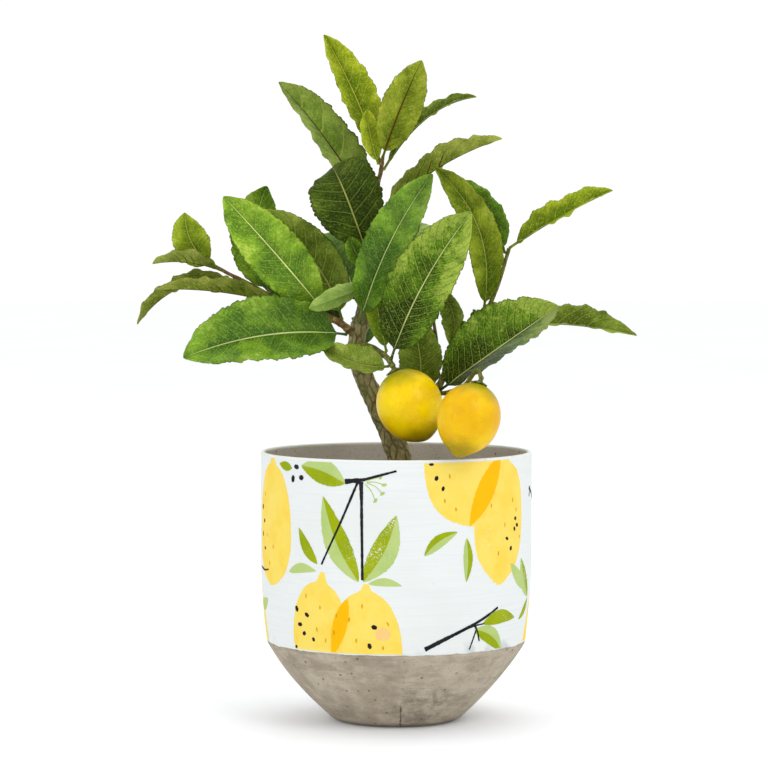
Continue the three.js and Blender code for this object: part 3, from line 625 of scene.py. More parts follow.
def leaf_finish(name, inks, gloss, pairs, veins, margin, foot, under=False):
    """Leaf cloth: two greens in clouds, which go lighter to the edge by the margin share and to the tip by
    the foot share, with flecks of the vein's colour, under a close grain. Side veins are cosine lines that
    sweep from the midrib to the tip, each with a painted shadow line beside it, and the midrib narrows
    along the leaf, with painted shade down one side of it. An under side has brown branches beside its
    midrib. U runs from foot to tip, and V across with the midrib at a half. The tone attribute tints one
    leaf, and on some leaves it also paints light on one half and shade on the other."""
    base, second, vein, rib = (rgb(code) for code in inks)
    f = Finish(name, gloss, 0.05 if gloss > 0.4 else 0.18)
    uv = f.node("UVMap", "UV", {}, uv_map="leaf")
    u, v = f.parts(uv, "XY")
    side = f.times(f.minus(v, 0.5), 2.0)
    off = f.math("ABSOLUTE", side)
    sweep = f.minus(u, f.times(f.math("POWER", off, 1.2), VEIN_SWEEP))
    turn = f.times(f.plus(sweep, f.times(f.noise(90, 2, 0.5), 0.035)), pairs * TURN)
    broad = f.math("COSINE", turn)
    # painted shadow line beside each side vein, so that the vein looks raised
    vein_shadow = f.band(f.math("COSINE", f.minus(turn, 0.75)), 0.80, 1.0)
    fine = f.math("COSINE", f.times(turn, 3.0))
    line = f.math("MAXIMUM", f.band(broad, 0.94, 1.0), f.band(fine, 0.86, 1.0, 0, 0.3))
    line = f.times(line, f.band(off, 1.0, 0.72))
    net = f.band(f.cells(520, feature="DISTANCE_TO_EDGE"), 0.0, 0.07, 0.45 * veins, 0)
    level = f.plus(f.noise(44, 4, 0.65), f.times(f.minus(off, 0.5), margin))
    level = f.plus(level, f.times(f.minus(u, 0.42), foot))
    colour = f.mix(f.band(level, 0.37, 0.64), base, second)
    fleck = f.plus(level, f.wander(240, 0.7, 3, 0.7))
    colour = f.mix(f.band(fleck, 0.57, 0.83, 0, 0.68), colour, vein)
    grain = f.noise(950, 3, 0.75)
    colour = f.mix(f.band(grain, 0.52, 0.68, 0, 0.55), colour, vein)
    colour = f.mix(f.band(grain, 0.48, 0.34, 0, 0.55), colour, base)
    # the painted vein shadows, in the darker base green
    colour = f.mix(f.times(vein_shadow, 0.18 + 0.25 * veins), colour, base)
    shown = f.times(f.math("MAXIMUM", line, net), 0.35 + 0.45 * veins)
    colour = f.mix(shown, colour, vein)
    if under:
        branch = f.times(f.band(broad, 0.86, 1.0), f.band(off, 0.62, 0.40),
                         f.band(f.noise(26, 2, 0.5), 0.48, 0.60), f.band(u, 0.80, 0.55))
        colour = f.mix(branch, colour, rib)
    growth, start, rib_edge = (2.2, 0.42, (0.030, 0.065)) if under else (1.5, 0.9, (0.016, 0.046))
    narrow = f.times(off, f.plus(f.times(u, growth), start))
    # painted shade: a dark line down one side of the midrib, where its groove would lie in shadow
    shade = f.times(f.band(narrow, 0.10, 0.05), f.band(side, 0.0, 0.01, 0.15, 0.6))
    colour = f.mix(shade, colour, base)
    colour = f.mix(f.band(narrow, *rib_edge, 0.95, 0), colour, rib)
    colour = f.stained(colour, "4c4a10", off, 0.955, 0.995, 0.6)
    # each leaf's tone, which on some leaves holds painted light on one half and painted shade on the other
    tone = f.node("Attribute", "Color", {}, attribute_name="tone")
    f.colour(f.mix(1.0, colour, tone, "MULTIPLY"))
    f.rough(f.band(f.noise(130, 3, 0.6), 0.3, 0.7, gloss - 0.08, gloss + 0.1))
    height = f.plus(f.times(line, 1.0 if under else -1.0), f.times(net, -0.4))
    first = f.bump(height, 0.3, 0.9)
    f.bump(grain, 0.12, 0.6, first)
    return f.material


def lemon_finish(label, axis, centre):
    """Lemon skin: deep yellow, in clouds that are deeper on the right lemon, olive laid over the stalk end
    and the nib, partly the skin's own green and partly painted shade at the lemon's ends, and small sunk
    pores."""
    f = Finish("lemon_skin_" + label, 0.36, 0.16)
    skin = (*settings().plant.lemon[:], 1)
    from_middle = f.vector("SUBTRACT", "Vector", f.place, centre * MM)
    along = f.math("DIVIDE", f.vector("DOT_PRODUCT", "Value", from_middle, axis), 0.0205)
    code, least, most = ("deae00", 0, 0.8) if label == "left" else ("dca600", 0.5, 1.0)
    colour = f.mix(f.band(f.noise(45, 4, 0.6), 0.35, 0.7, least, most), skin, rgb(code))
    # olive over the stalk end and the nib: partly the green of the skin there, partly painted shade
    end_tint_and_shade = f.plus(along, f.wander(70, 0.5))
    colour = f.stained(colour, "7f860a", end_tint_and_shade, 0.42, 1.04, 0.9)
    colour = f.stained(colour, "877804", end_tint_and_shade, -0.58, -1.08, 0.85)
    pore = f.band(f.cells(620), 0.05, 0.30, 1, 0)
    colour = f.mix(f.times(pore, 0.28), colour, rgb("b88400"))
    f.colour(colour)
    f.rough(f.band(f.noise(200, 3, 0.6), 0.3, 0.7, 0.26, 0.38))
    first = f.bump(f.noise(55, 2, 0.5), 0.9, 0.35)
    f.bump(f.times(pore, -1.0), 0.16, 0.8, first)
    return f.material


def bark_finish(name, base, second, mark, stretch, depth):
    """Bark: two browns in streaks along the stem, dark cracks, pale scars and green patches."""
    f = Finish(name, 0.8, 0.25)
    long = f.scaled(1, 1, stretch)
    streak = f.band(f.noise(260, 5, 0.65, long), 0.32, 0.68)
    colour = f.mix(streak, rgb(base), rgb(second))
    crack = f.band(f.cells(230, where=long, feature="DISTANCE_TO_EDGE"), 0.02, 0.14, 1, 0)
    colour = f.mix(f.times(crack, 0.6), colour, rgb(mark))
    colour = f.stained(colour, "a29c72", f.noise(420, 4, 0.7), 0.54, 0.66, 0.6)
    colour = f.stained(colour, "5c6a24", f.noise(60, 3, 0.5), 0.5, 0.68, 0.5)
    f.colour(colour)
    first = f.bump(f.minus(streak, crack), depth, 0.9)
    f.bump(f.noise(900, 3, 0.7), 0.1, 0.6, first)
    return f.material


def grainy_finish(name, base, second, dark, scale, roughness, depth):
    """Two colours in clouds with dark grains, for soil, filler and moulded plastic."""
    f = Finish(name, roughness, 0.3)
    colour = f.mix(f.band(f.noise(scale, 5, 0.65), 0.35, 0.68), rgb(base), rgb(second))
    grain = f.noise(scale * 9, 4, 0.7)
    f.colour(f.stained(colour, dark, grain, 0.50, 0.66, 0.7))
    f.rough(f.band(grain, 0.3, 0.7, max(roughness - 0.1, 0.05), min(roughness + 0.08, 1)))
    f.bump(grain, depth, 0.8, f.bump(f.noise(scale * 2, 4, 0.6), depth * 1.5, 0.6))
    return f.material


# ------------------------------------------------------------------ the pot
def cement_profile():
    """Half section of the pot from the middle of its underside, round the rim, to the middle of its
    floor, cut back under the printed band."""
    fillet_height, fillet_width = 7.0, 5.5
    foot = np.linspace(2.0, SHOULDER_Z - 0.25, 26)
    band = np.linspace(BAND_LOW, BAND_HIGH, 34)
    inner = np.linspace(RIM_HEIGHT - 1.6, FLOOR_Z + fillet_height, 30)
    floor_radius = float(inner_radius(FLOOR_Z + fillet_height)) - 1.2
    turn = np.linspace(0.15, 0.5 * np.pi, 6)
    fillet = np.stack([floor_radius - fillet_width * (1 - np.cos(turn)),
                       FLOOR_Z + fillet_height * (1 - np.sin(turn))], -1).tolist()
    rim = [(POT_RADIUS - inward, z) for inward, z in (
        (0.10, 158.7), (0.30, 159.1), (0.7, 159.34), (1.2, 159.42), (1.8, 159.36), (2.3, 159.1),
        (2.55, 158.6))]
    edge = [(BASE_RADIUS - inward, z) for inward, z in ((3.2, 0.0), (1.2, 0.25), (0.1, 0.9))]
    return ([(0, 0.0), (20, 0.0)] + edge + list(zip(wall_radius(foot), foot))
            + [(float(wall_radius(SHOULDER_Z)) - 0.05, SHOULDER_Z),
               (float(wall_radius(BAND_LOW - 0.1)) - 0.1, BAND_LOW - 0.1)]
            + list(zip(wall_radius(band) - 0.3, band)) + rim
            + list(zip(inner_radius(inner), inner)) + fillet + [(20, FLOOR_Z), (0, FLOOR_Z)])


def unevenness():
    """How far the cast wall wanders, in millimetres."""
    return settings().pot.unevenness / MM


def make_cement():
    """The pot's half section, swept about Z with an uneven radius."""
    shell = spun(cement_profile(), 256, unevenness(), CAST_SEED)
    thing = mesh_object("cement_body", shell, [cement_finish()], sharp=50)
    return fitted(thing, "pot", "cement", "pot_shell")


def wall_swell(x, y, z):
    """How much wider than its formula the cast wall is at each place."""
    return 1 + unevenness() * ripple(CAST_SEED, CAST_WANDER, x, y, z) / 80


def make_ground():
    """The printed ground is a thin ring: its outer face follows the wall, its edges are rounded in, and
    its lower edge is ragged by two smooth noises."""
    z = np.linspace(BAND_LOW + 0.4, BAND_HIGH - 0.4, 60)
    outer = np.stack([wall_radius(z), z], -1)
    low, high = wall_radius(BAND_LOW), wall_radius(BAND_HIGH)
    profile = np.vstack([[(low - BAND_DEPTH, BAND_LOW + 0.05), (low - 0.28, BAND_LOW + 0.05),
                          (low - 0.06, BAND_LOW + 0.18)], outer,
                         [(high - 0.06, BAND_HIGH - 0.18), (high - 0.3, BAND_HIGH),
                          (high - BAND_DEPTH, BAND_HIGH)],
                         (outer - [BAND_DEPTH, 0])[::-1]])
    x, y, z = np.moveaxis(about_z(profile[:, :1], full_turn(256), profile[:, 1:]), -1, 0)
    ragged = 0.45 + 0.35 * ripple(61, 30, x[:1], y[:1]) + 0.2 * ripple(62, 6, x[:1], y[:1])
    z = z + np.clip(ragged, 0, 1.2) * smooth_step(BAND_LOW + 5, BAND_LOW, z)
    swell = wall_swell(x, y, z)
    shell = Shell(np.stack([x * swell, y * swell, z], -1),
                  grid_quads(len(profile), 256, True, True)).outward()
    thing = mesh_object("printed_ground", shell, [ground_finish()], sharp=50)
    return fitted(thing, "pot", "printed_coat", "print_band")


# ------------------------------------------------------------------ printed shapes
def print_lemon(cx, cz, half_w, half_h, lean, neck, nib, pear, seed):
    """Lemon outline about its middle: an ellipse a little squared off and narrowed to the top by the pear
    share, with a narrow neck at the top, a nib at the foot and a ragged edge; the grid runs from the
    middle out to it."""
    turn = full_turn(128)
    squared = (np.abs(np.cos(turn)) ** 2.3 + np.abs(np.sin(turn)) ** 2.3) ** (-1 / 2.3)
    x, z = half_w * squared * np.sin(turn), half_h * squared * np.cos(turn)
    away = np.angle(np.exp(1j * turn))
    from_foot = np.abs(away) - np.pi
    z = z + neck * np.exp(-(away / 0.17) ** 4) - nib * np.exp(-(from_foot / 0.3) ** 2)
    x = x * (1 - 0.12 * np.exp(-((np.abs(away) - 0.34) / 0.2) ** 2)) * (1 - pear * z / half_h)
    edge = 1 + 0.011 * ripple(seed, 5, x, z) + 0.008 * ripple(seed + 1, 1.6, x, z)
    share = (np.arange(1, 12) / 11)[:, None, None]
    return np.array([cx, cz]) + share * (leaned(x, z, lean) * edge[:, None])[None], True


def print_blade(foot, tip, width, curve, part, seed, columns=5):
    """Leaf or half leaf: across its bent midrib, the half width is the sine of the length, to the power
    0.85, with a ragged edge. part is the two shares of the half width between which it lies."""
    foot, tip = np.array(foot, float), np.array(tip, float)
    s = np.linspace(0.0, 1.0, 34)
    along = (tip - foot) / np.linalg.norm(tip - foot)
    side = np.array([-along[1], along[0]])
    line = foot + (tip - foot) * s[:, None] + side * (curve * np.sin(np.pi * s))[:, None]
    half = width / 2 * np.sin(np.pi * s ** 0.9) ** 0.85 + 0.12
    t = np.linspace(part[0], part[1], columns)
    rag = 1 + 0.06 * ripple(seed, 4, s * 40, t[:, None] * 3).T * (np.abs(t)[None, :] > 0.9)
    return line[:, None] + side * (half[:, None] * t[None, :] * rag)[..., None], False


def print_line(points, start, end, seed):
    """Brushed line: a band about a smooth curve, tapering from one width to the other, with a ragged
    edge and blunt ends."""
    flat = np.array([(x, z, 0) for x, z in points], float)
    s = np.linspace(0, 1, 40)
    place, along = curve_at(flat, s)
    side = np.stack([-along[:, 1], along[:, 0]], -1)
    half = (start + (end - start) * s) / 2 * (1 + 0.16 * ripple(seed, 7, place[:, 0], place[:, 1])
                                              + 0.12 * ripple(seed + 1, 2.2, place[:, 0], place[:, 1]))
    t = np.array([-1.0, 0.0, 1.0])
    return place[:, None, :2] + side[:, None] * (half[:, None] * t)[..., None], False


def print_dot(x, z, half_w, half_h, lean=0.0, seed=0):
    """Oval with a slightly uneven edge."""
    turn = full_turn(28)
    edge = 1 + 0.10 * np.sin(2 * turn + seed) + 0.05 * np.sin(5 * turn + 2 * seed)
    a, b = half_w * np.sin(turn) * edge, half_h * np.cos(turn) * edge
    return np.array([x, z]) + np.array([0.5, 1.0])[:, None, None] * leaned(a, b, lean)[None], True


def inked(patches, proud):
    """Closed slabs over flat patches: each patch's grid proud of the wall and again a little inside it,
    joined round its outer edge, and cut level with the band's two edges."""
    made = bmesh.new()
    for grid, closed in patches:
        rows, columns = grid.shape[:2]
        flat = grid.reshape(-1, 2)
        if closed:
            flat = np.vstack([flat, grid[0].mean(0)])
        count = len(flat)
        quads = grid_quads(rows, columns, close_columns=closed)
        tris = np.zeros((0, 3), int)
        edge = np.arange(columns) + (rows - 1) * columns
        if closed:
            j = np.arange(columns)
            tris = np.stack([np.full(columns, count - 1), (j + 1) % columns, j], -1)
        else:
            edge = np.concatenate([np.arange(columns), np.arange(1, rows) * columns + columns - 1,
                                   (rows - 1) * columns + np.arange(columns - 2, -1, -1),
                                   np.arange(rows - 2, 0, -1) * columns])
        nxt = np.roll(edge, -1)
        skirt = np.stack([edge, nxt, nxt + count, edge + count], -1)
        points = np.vstack([np.column_stack([flat, np.full(count, proud)]),
                            np.column_stack([flat, np.full(count, -INK_ROOT)])])
        mesh = bpy.data.meshes.new("patch")
        mesh.from_pydata(points.tolist(), [], np.vstack([quads, quads + count, skirt]).tolist()
                         + np.vstack([tris, tris + count]).tolist())
        made.from_mesh(mesh)
        bpy.data.meshes.remove(mesh)
    for level, way in ((BAND_LOW + 1.3, -1), (BAND_HIGH - 0.5, 1)):
        bmesh.ops.bisect_plane(made, geom=made.verts[:] + made.edges[:] + made.faces[:],
                               plane_co=(0, level, 0), plane_no=(0, way, 0), clear_outer=True)
        bmesh.ops.holes_fill(made, edges=[e for e in made.edges if e.is_boundary], sides=0)
    bmesh.ops.recalc_face_normals(made, faces=made.faces[:])
    bmesh.ops.triangulate(made, faces=[f for f in made.faces if len(f.verts) > 4])
    return made


def bent(made, name, material):
    """Bends the flat slabs round the wall, once at the front and once at the back, and makes them one
    object: x becomes the angle, y the height, z the distance out from the wall."""
    mesh = bpy.data.meshes.new(name)
    made.to_mesh(mesh)
    made.free()
    flat = np.empty(len(mesh.vertices) * 3)
    mesh.vertices.foreach_get("co", flat)
    arc, z, out = flat.reshape(-1, 3).T
    twin = mesh.copy()
    for half, shift in ((mesh, 0), (twin, BACK)):
        angle = (arc + shift) / POT_RADIUS
        radius = wall_radius(z)
        swell = wall_swell(*about_z(radius, angle, z).T)
        half.vertices.foreach_set("co", (about_z(radius * swell + out, angle, z) * MM).ravel())
    both = bmesh.new()
    both.from_mesh(mesh)
    both.from_mesh(twin)
    both.to_mesh(mesh)
    both.free()
    bpy.data.meshes.remove(twin)
    mesh.update()
    mesh.shade_smooth()
    mesh.set_sharp_from_angle(angle=np.radians(40))
    mesh.materials.append(material)
    thing = bpy.data.objects.new(name, mesh)
    bpy.context.scene.collection.objects.link(thing)
    return thing


def print_layers():
    """Each ink's patches, with how far that layer stands proud, lowest first."""
    lemons = [print_lemon(*row, 10 * i) for i, row in enumerate(PRINT_LEMONS)]
    lenses = [print_blade(a, b, w, 0, (-1, 1), 5, 7) for a, b, w in PRINT_LENSES]
    full, light = [], []
    for i, (foot, tip, width, curve, side) in enumerate(PRINT_LEAVES):
        full.append(print_blade(foot, tip, width, curve, (0, side), 20 + i))
        light.append(print_blade(foot, tip, width, curve, (0, -side), 40 + i))
    for i, (foot, tip, width, curve, which) in enumerate(SLIM_LEAVES):
        (full if which == "green" else light).append(
            print_blade(foot, tip, width, curve, (-1, 1), 60 + i, 7))
    light += [print_line(points, 0.55, 0.5, 80) for points in PRINT_THREADS]
    light += [print_dot(*points[-1], 1.5, 0.9, -20 * i) for i, points in enumerate(PRINT_THREADS)]
    black = [print_line(p, a, b, 90 + i) for i, (p, a, b) in enumerate(PRINT_LINES)]
    black += [print_dot(*row, seed=i) for i, row in enumerate(PRINT_DOTS)]
    ochre = [print_dot(x, z, 0.55, 1.3, (lean - 75) / 2, i) for i, (x, z, lean) in enumerate(PRINT_DASHES)]
    peach = [print_dot(-8, 60, 5.0, 3.6, 20, 1)]
    return (("ink_yellow", lemons, 0.08), ("ink_orange", lenses, 0.12), ("ink_pale_green", light, 0.10),
            ("ink_green", full, 0.12), ("ink_peach", peach, 0.12), ("ink_ochre", ochre, 0.14),
            ("ink_black", black, 0.16))


def make_print():
    """Each ink's slabs, bent round the wall, as one piece."""
    thickness = settings().band.ink_height / INK_HEIGHT
    for name, patches, proud in print_layers():
        ink = ink_finish(name, *INKS[name])
        fitted(bent(inked(patches, proud * thickness), name, ink), "pot", "printed_coat")


# ------------------------------------------------------------------ inside the pot
def make_grower():
    """Thin nursery pot: a cone with a rolled lip, whose wall has upright grooves, pressed in by the sixth
    power of the cosine of sixteen times the angle."""
    low, top, wall = FLOOR_Z + 0.3, GROWER_TOP, 1.6
    foot, mouth = GROWER_RADII
    slope = (mouth - foot) / (top - low)
    z = np.linspace(low + 1.5, top - 6.5, 24)
    lip = [(mouth - slope * 6 + 2.6, top - 6)] + [(mouth + out, top + rise) for out, rise in (
        (3.0, -5.4), (3.2, -0.7), (2.8, -0.1), (1.9, 0.1), (-1.1, -0.2), (-1.6, -1.0))]
    inner = np.linspace(top - 7, low + 2.4, 24)
    profile = ([(0, low), (foot - 1.4, low), (foot - 0.4, low + 0.4)]
               + list(zip(foot + slope * (z - low), z)) + lip
               + list(zip(foot - wall + slope * (inner - low), inner))
               + [(foot - 3.2, low + wall), (0, low + wall)])
    shell = spun(profile, 192, 0.12, 9)
    rows = shell.points
    angle = np.arctan2(rows[:, 0], -rows[:, 1])
    radius = np.hypot(rows[:, 0], rows[:, 1])
    ribbed = smooth_step(low + 3, low + 8, rows[:, 2]) * smooth_step(top - 8, top - 14, rows[:, 2])
    push = 1 - 0.35 * ribbed * np.cos(16 * angle) ** 6 / np.maximum(radius, 20)
    rows[:, :2] *= push[:, None]
    finish = grainy_finish("nursery_plastic", "232524", "2d302e", "191b1a", 60, 0.45, 0.08)
    thing = mesh_object("nursery_pot", shell, [finish], sharp=40)
    return fitted(thing, "plant", "liner_plastic", "grower_pot")


def make_soil():
    """Bedding: a bumpy sheet between a hole round the trunk and the pot wall, closed underneath."""
    sides, rows, back_rows = 180, 34, 10
    angle = full_turn(sides)
    inner = about_z(SOIL_RADII[0], angle, 0)[:, :2] + [TRUNK_X, 0]
    outer = about_z(SOIL_RADII[1], angle, 0)[:, :2]
    share = np.concatenate([np.linspace(0, 1, rows), np.linspace(1, 0, back_rows)])[:, None, None]
    flat = inner * (1 - share) + outer * share
    height = np.full(flat.shape[:2], SOIL_LOW)
    bump = 0.9 * ripple(21, 18, *np.moveaxis(flat, -1, 0)) + 0.45 * ripple(22, 5, *np.moveaxis(flat, -1, 0))
    height[:rows] = SOIL_TOP + (bump - 0.4)[:rows]
    shell = Shell(np.dstack([flat, height]), grid_quads(rows + back_rows, sides, True, True)).outward()
    finish = grainy_finish("bedding_fibre", "5b4430", "3d2c1e", "2a1f16", 150, 0.92, 0.5)
    fitted(mesh_object("bedding", shell, [finish]), "plant", "topping", "soil_top")


def make_chips():
    """Chips strewn over the bedding, each a squashed box with uneven corners, turned about Z and tipped
    about its length."""
    rng = np.random.RandomState(5)
    count, nearest, farthest = 420, 13, 55
    spot = rng.uniform(0, TURN, count)
    reach = nearest + (farthest - nearest) * np.sqrt(rng.uniform(0.02, 1, count))
    centre = np.stack([reach * np.sin(spot) + TRUNK_X * (1 - reach / farthest), -reach * np.cos(spot),
                       SOIL_TOP + rng.uniform(0.1, 1.2, count)], -1)
    size = np.stack([rng.uniform(1.2, 3.4, count), rng.uniform(0.8, 1.8, count),
                     rng.uniform(0.35, 0.8, count)], -1)
    corner = np.array([[x, y, z] for z in (-1, 1) for x, y in ((-1, -1), (1, -1), (1, 1), (-1, 1))])
    loose = corner[None] * size[:, None] * rng.uniform(0.65, 1.0, (count, 8, 3))
    yaw, pitch = rng.uniform(0, TURN, count), rng.uniform(-0.35, 0.35, count)
    zeros, ones = np.zeros(count), np.ones(count)
    spin = np.array([[np.cos(yaw), -np.sin(yaw), zeros], [np.sin(yaw), np.cos(yaw), zeros],
                     [zeros, zeros, ones]]).transpose(2, 0, 1)
    tip = np.array([[ones, zeros, zeros], [zeros, np.cos(pitch), -np.sin(pitch)],
                    [zeros, np.sin(pitch), np.cos(pitch)]]).transpose(2, 0, 1)
    placed = np.einsum("nij,nvj->nvi", spin @ tip, loose) + centre[:, None]
    faces = np.array([[3, 2, 1, 0], [4, 5, 6, 7], [0, 1, 5, 4], [1, 2, 6, 5], [2, 3, 7, 6], [3, 0, 4, 7]])
    quads = (faces[None] + 8 * np.arange(count)[:, None, None]).reshape(-1, 4)
    finish = grainy_finish("chip_bark", "7a5a3c", "54402c", "33261a", 220, 0.85, 0.3)
    chips = mesh_object("bark_chips", Shell(placed, quads).outward(), [finish], sharp=30)
    fitted(chips, "plant", "topping")


# ------------------------------------------------------------------ the tree
def lifted(points):
    """Places given from the rim's height, as places from the table's."""
    return np.asarray(points, float) + np.array([0, 0, RIM_HEIGHT])


def joint_of(lemon):
    """Where a lemon's calyx meets its twig."""
    _, centre, direction, _, half_length, _ = LEMONS[lemon]
    return lifted(centre) + unit(np.array(direction)) * (half_length + STALK_JOINT)


def surface_point(parent, at, towards, gap):
    """Where something that grows out of a stem starts: off the stem's skin, towards a given place."""
    foot, along = (a[0] for a in curve_at(ROUTES[parent][0], [at]))
    away = towards - foot
    if at >= 1:
        return foot, foot + unit(away) * gap
    away = unit(away - along * away.dot(along))
    r0, r1 = ROUTES[parent][1:]
    return foot, foot + away * (r0 + (r1 - r0) * at + gap)


ROUTES = {}


def lay_routes():
    """Works out each stem's points once, so that stems, leaves and lemons all start from the same ones."""
    for name, (parent, at, r0, r1, points, _, _) in STEMS.items():
        route = lifted(points)
        if parent:
            gap = 0.45 if at == 1 else 0.65
            route = np.vstack([surface_point(parent, at, route[0], gap)[1], route])
        hung = [joint_of(lemon) for lemon, row in LEMONS.items() if row[0] == name]
        ROUTES[name] = (np.vstack([route] + hung), r0, r1)


def knuckle(centre, radius):
    """Ball of a given radius about a joint, from rings along Z."""
    t = np.linspace(0, np.pi, 14)[1:-1]
    ball = about_z(np.sin(t)[:, None], full_turn(20), np.cos(t)[:, None])
    shell = capped_tube(ball * radius + centre)
    shell.points[-2:] = centre + np.array([[0, 0, radius], [0, 0, -radius]])
    return shell.outward()


def stem_shell(name):
    """A stem's skin: rings along its route whose radius swells at each node where a leaf leaves it and
    ripples a little; its foot runs into its parent, and a spray starts in a round knuckle."""
    parent, at = STEMS[name][:2]
    route, r0, r1 = ROUTES[name]
    trunk = name == "trunk"
    rows = 150 if trunk else 26 * (len(route) - 1)
    u = np.linspace(0, 1, rows)
    path, along = curve_at(route, u)
    radius = r0 + (r1 - r0) * u
    reach, sides, rough = (0.012, 36, 0.055) if trunk else (0.035, 20, 0.04)
    for spot in [row[1] for table in (LEAVES, STEMS) for row in table.values() if row[0] == name]:
        radius = radius + 0.16 * r1 * np.exp(-((u - spot) / reach) ** 2)
    radius = radius * np.where(u > 0.99, 0.9, 1.0)
    rings = path_tube(path, along, radius[:, None] * np.ones(sides), sides)
    where = np.moveaxis(rings, -1, 0)
    swell = rough * ripple(31, 9, *where) + rough * ripple(32, 26, *where)
    rings = path[:, None] + (rings - path[:, None]) * (1 + swell[..., None])
    if parent and at < 1:
        foot = curve_at(ROUTES[parent][0], [at])[0][0]
        steps = np.array([0.0, 0.55, 0.85])[:, None, None]
        flare = np.array([1.25, 1.3, 1.15])[:, None, None]
        start = foot + (path[0] - foot) * steps
        rings = np.concatenate([start + (rings[0] - path[0]) * flare, rings])
    shells = [capped_tube(rings).outward()]
    if at == 1:
        pivot = curve_at(ROUTES[parent][0], [1.0])[0][0] * 0.5 + path[0] * 0.5
        shells.append(knuckle(pivot, ROUTES[parent][2] + 0.45))
    return joined(shells)


def make_stems():
    """Each stem's skin, with the bark of its kind."""
    barks = {name: bark_finish(name, *look) for name, *look in (
        ("trunk_bark", "7a7040", "aba070", "3e381a", 0.45, 0.8),
        ("red_twig", "6e4a2a", "83703a", "3c2614", 0.4, 0.25),
        ("green_twig", "5c6624", "78742e", "3c3c18", 0.4, 0.2))}
    for name, row in STEMS.items():
        thing = mesh_object(name + "_skin", stem_shell(name), [barks[row[6]]])
        fitted(thing, row[5], "bark" if name == "trunk" else "twig", name)


def blade_width(u):
    """Share of the full width along a leaf: it rises as t to the power 0.55 from the end of the stalk
    and falls as (1 - t) to the power 0.65 to the tip, a little faster at the last."""
    t = np.clip((u - 0.07) / 0.93, 0, 1)
    return (t / 0.458) ** 0.55 * ((1 - t) / 0.542) ** 0.65 * (1 - 0.24 * smooth_step(0.86, 1.0, t))


def leaf_shell(name, order):
    """Leaf: the midrib is a curve of the second degree from the stem to the tip. Across it, the blade
    rises to both sides by the fold angle, waves at its edge, swells between its side veins and dips
    along the midrib, where the underside carries a rib. Before it comes a round stalk, whose foot is
    inside the stem. u runs from foot to tip, v across from -1 to 1, and off is v without its sign."""
    stem, at, tip, bow, width, roll0, roll1, fold, wave = LEAVES[name][:9]
    end = lifted(tip)
    foot = curve_at(ROUTES[stem][0], [at])[0][0]
    middle = (foot + end) / 2 + 2 * np.array(bow, float)
    foot, base = surface_point(stem, at, middle, 0.9)
    u = np.concatenate([[-0.05, -0.025], np.linspace(0, 0.10, 12), np.linspace(0.112, 0.985, 104),
                        [0.993, 1.0]])
    t = np.clip(u, 0, 1)[:, None]
    path = (1 - t) ** 2 * base + 2 * t * (1 - t) * middle + t ** 2 * end
    path = path + (foot - base) * np.clip(-u / 0.05, 0, 1)[:, None]
    along = unit(2 * (1 - t) * (middle - base) + 2 * t * (end - middle))
    front = np.array([0.0, 0.0, 1.0]) if abs(unit(end - base)[1]) > 0.75 else np.array([0.0, -1.0, 0.0])
    face = unit(front - along * (along @ front)[:, None])
    side = np.cross(along, face)
    roll = np.radians(roll0 + (roll1 - roll0) * t)
    turned = side * np.cos(roll) - face * np.sin(roll)
    up = face * np.cos(roll) + side * np.sin(roll)
    length = np.linalg.norm(end - base)
    blade = blade_width(t[:, 0])
    leaf = smooth_step(0.06, 0.14, u)
    beat = TURN * length / 2.9 * u + order
    teeth = 1 + leaf * (0.016 * np.sin(beat) + 0.010 * np.sin(2 * beat + 0.9)
                        + 0.040 * ripple(90 + order, 15, u * length))
    stalk = 0.75 + 0.45 * np.exp(-((u + 0.01) / 0.02) ** 2)
    half = np.maximum(settings().plant.leaf_scale * width / 2 * blade * teeth, stalk * (1 - 0.85 * leaf))
    s = np.linspace(-1, 1, 33)
    v = np.sign(s) * np.abs(s) ** 1.25
    slope = np.radians(fold)
    off = np.abs(v)
    curl = wave * blade[:, None] * v ** 2 * np.sin(12 * t + order + np.where(v > 0, 1.3, 0.0))
    lively = 0.45 + 0.9 * np.clip(0.5 + ripple(120 + order, 26, u * length), 0, 1.2)
    frill = (lively * blade)[:, None] * off ** 3 * np.sin(TURN * length / 11 * t + 2 * order
                                                     + np.where(v > 0, 0.9, 0.0))
    phase = 11 * TURN * (t - VEIN_SWEEP * off ** 1.2 + 0.012 * v)
    quilt = 0.20 * blade[:, None] * off ** 0.5 * (1 - off ** 2) * (1 - np.cos(phase))
    groove = -0.45 * np.exp(-(off * half[:, None] / 0.8) ** 2) * leaf[:, None]
    spine = (0.75 * (1 - 0.7 * t) + 0.1) * np.exp(-(off * half[:, None] / 0.9) ** 2)
    stalk_half = 0.8 * np.sqrt(np.clip(1 - off ** 2, 0, 1))
    sheet = 0.24 * np.sqrt(np.clip(1 - off ** 10, 0, 1))
    mixed = leaf[:, None]
    top = stalk_half * (1 - mixed) + (sheet + groove) * mixed
    low = stalk_half * (1 - mixed) + (sheet + spine) * mixed
    blunt = np.where(u >= 1.0, 0.4, 1.0)[:, None]
    rise = half[:, None] * off * np.sin(slope) * mixed + (curl + frill + quilt) * mixed
    spread = half[:, None] * v * (np.cos(slope) * mixed + 1 - mixed)
    centre = path[:, None] + turned[:, None] * spread[..., None]
    upper = centre + up[:, None] * (rise + top * blunt)[..., None]
    lower = centre + up[:, None] * (rise - low * blunt)[..., None]
    rings = np.concatenate([upper, lower[:, -2:0:-1]], axis=1)
    shell = capped_tube(rings)
    across = np.concatenate([v, v[-2:0:-1]])
    uv = np.stack(np.broadcast_arrays(t, across / 2 + 0.5), -1)
    shell.values["uv"] = np.vstack([uv.reshape(-1, 2), [[0, 0.5], [1, 0.5]]])
    lower_column = np.arange(rings.shape[1]) >= len(v) - 1
    under = np.tile(lower_column, len(u) - 1)
    return shell.outward(), np.concatenate([under, np.zeros(len(shell.tris), bool)])


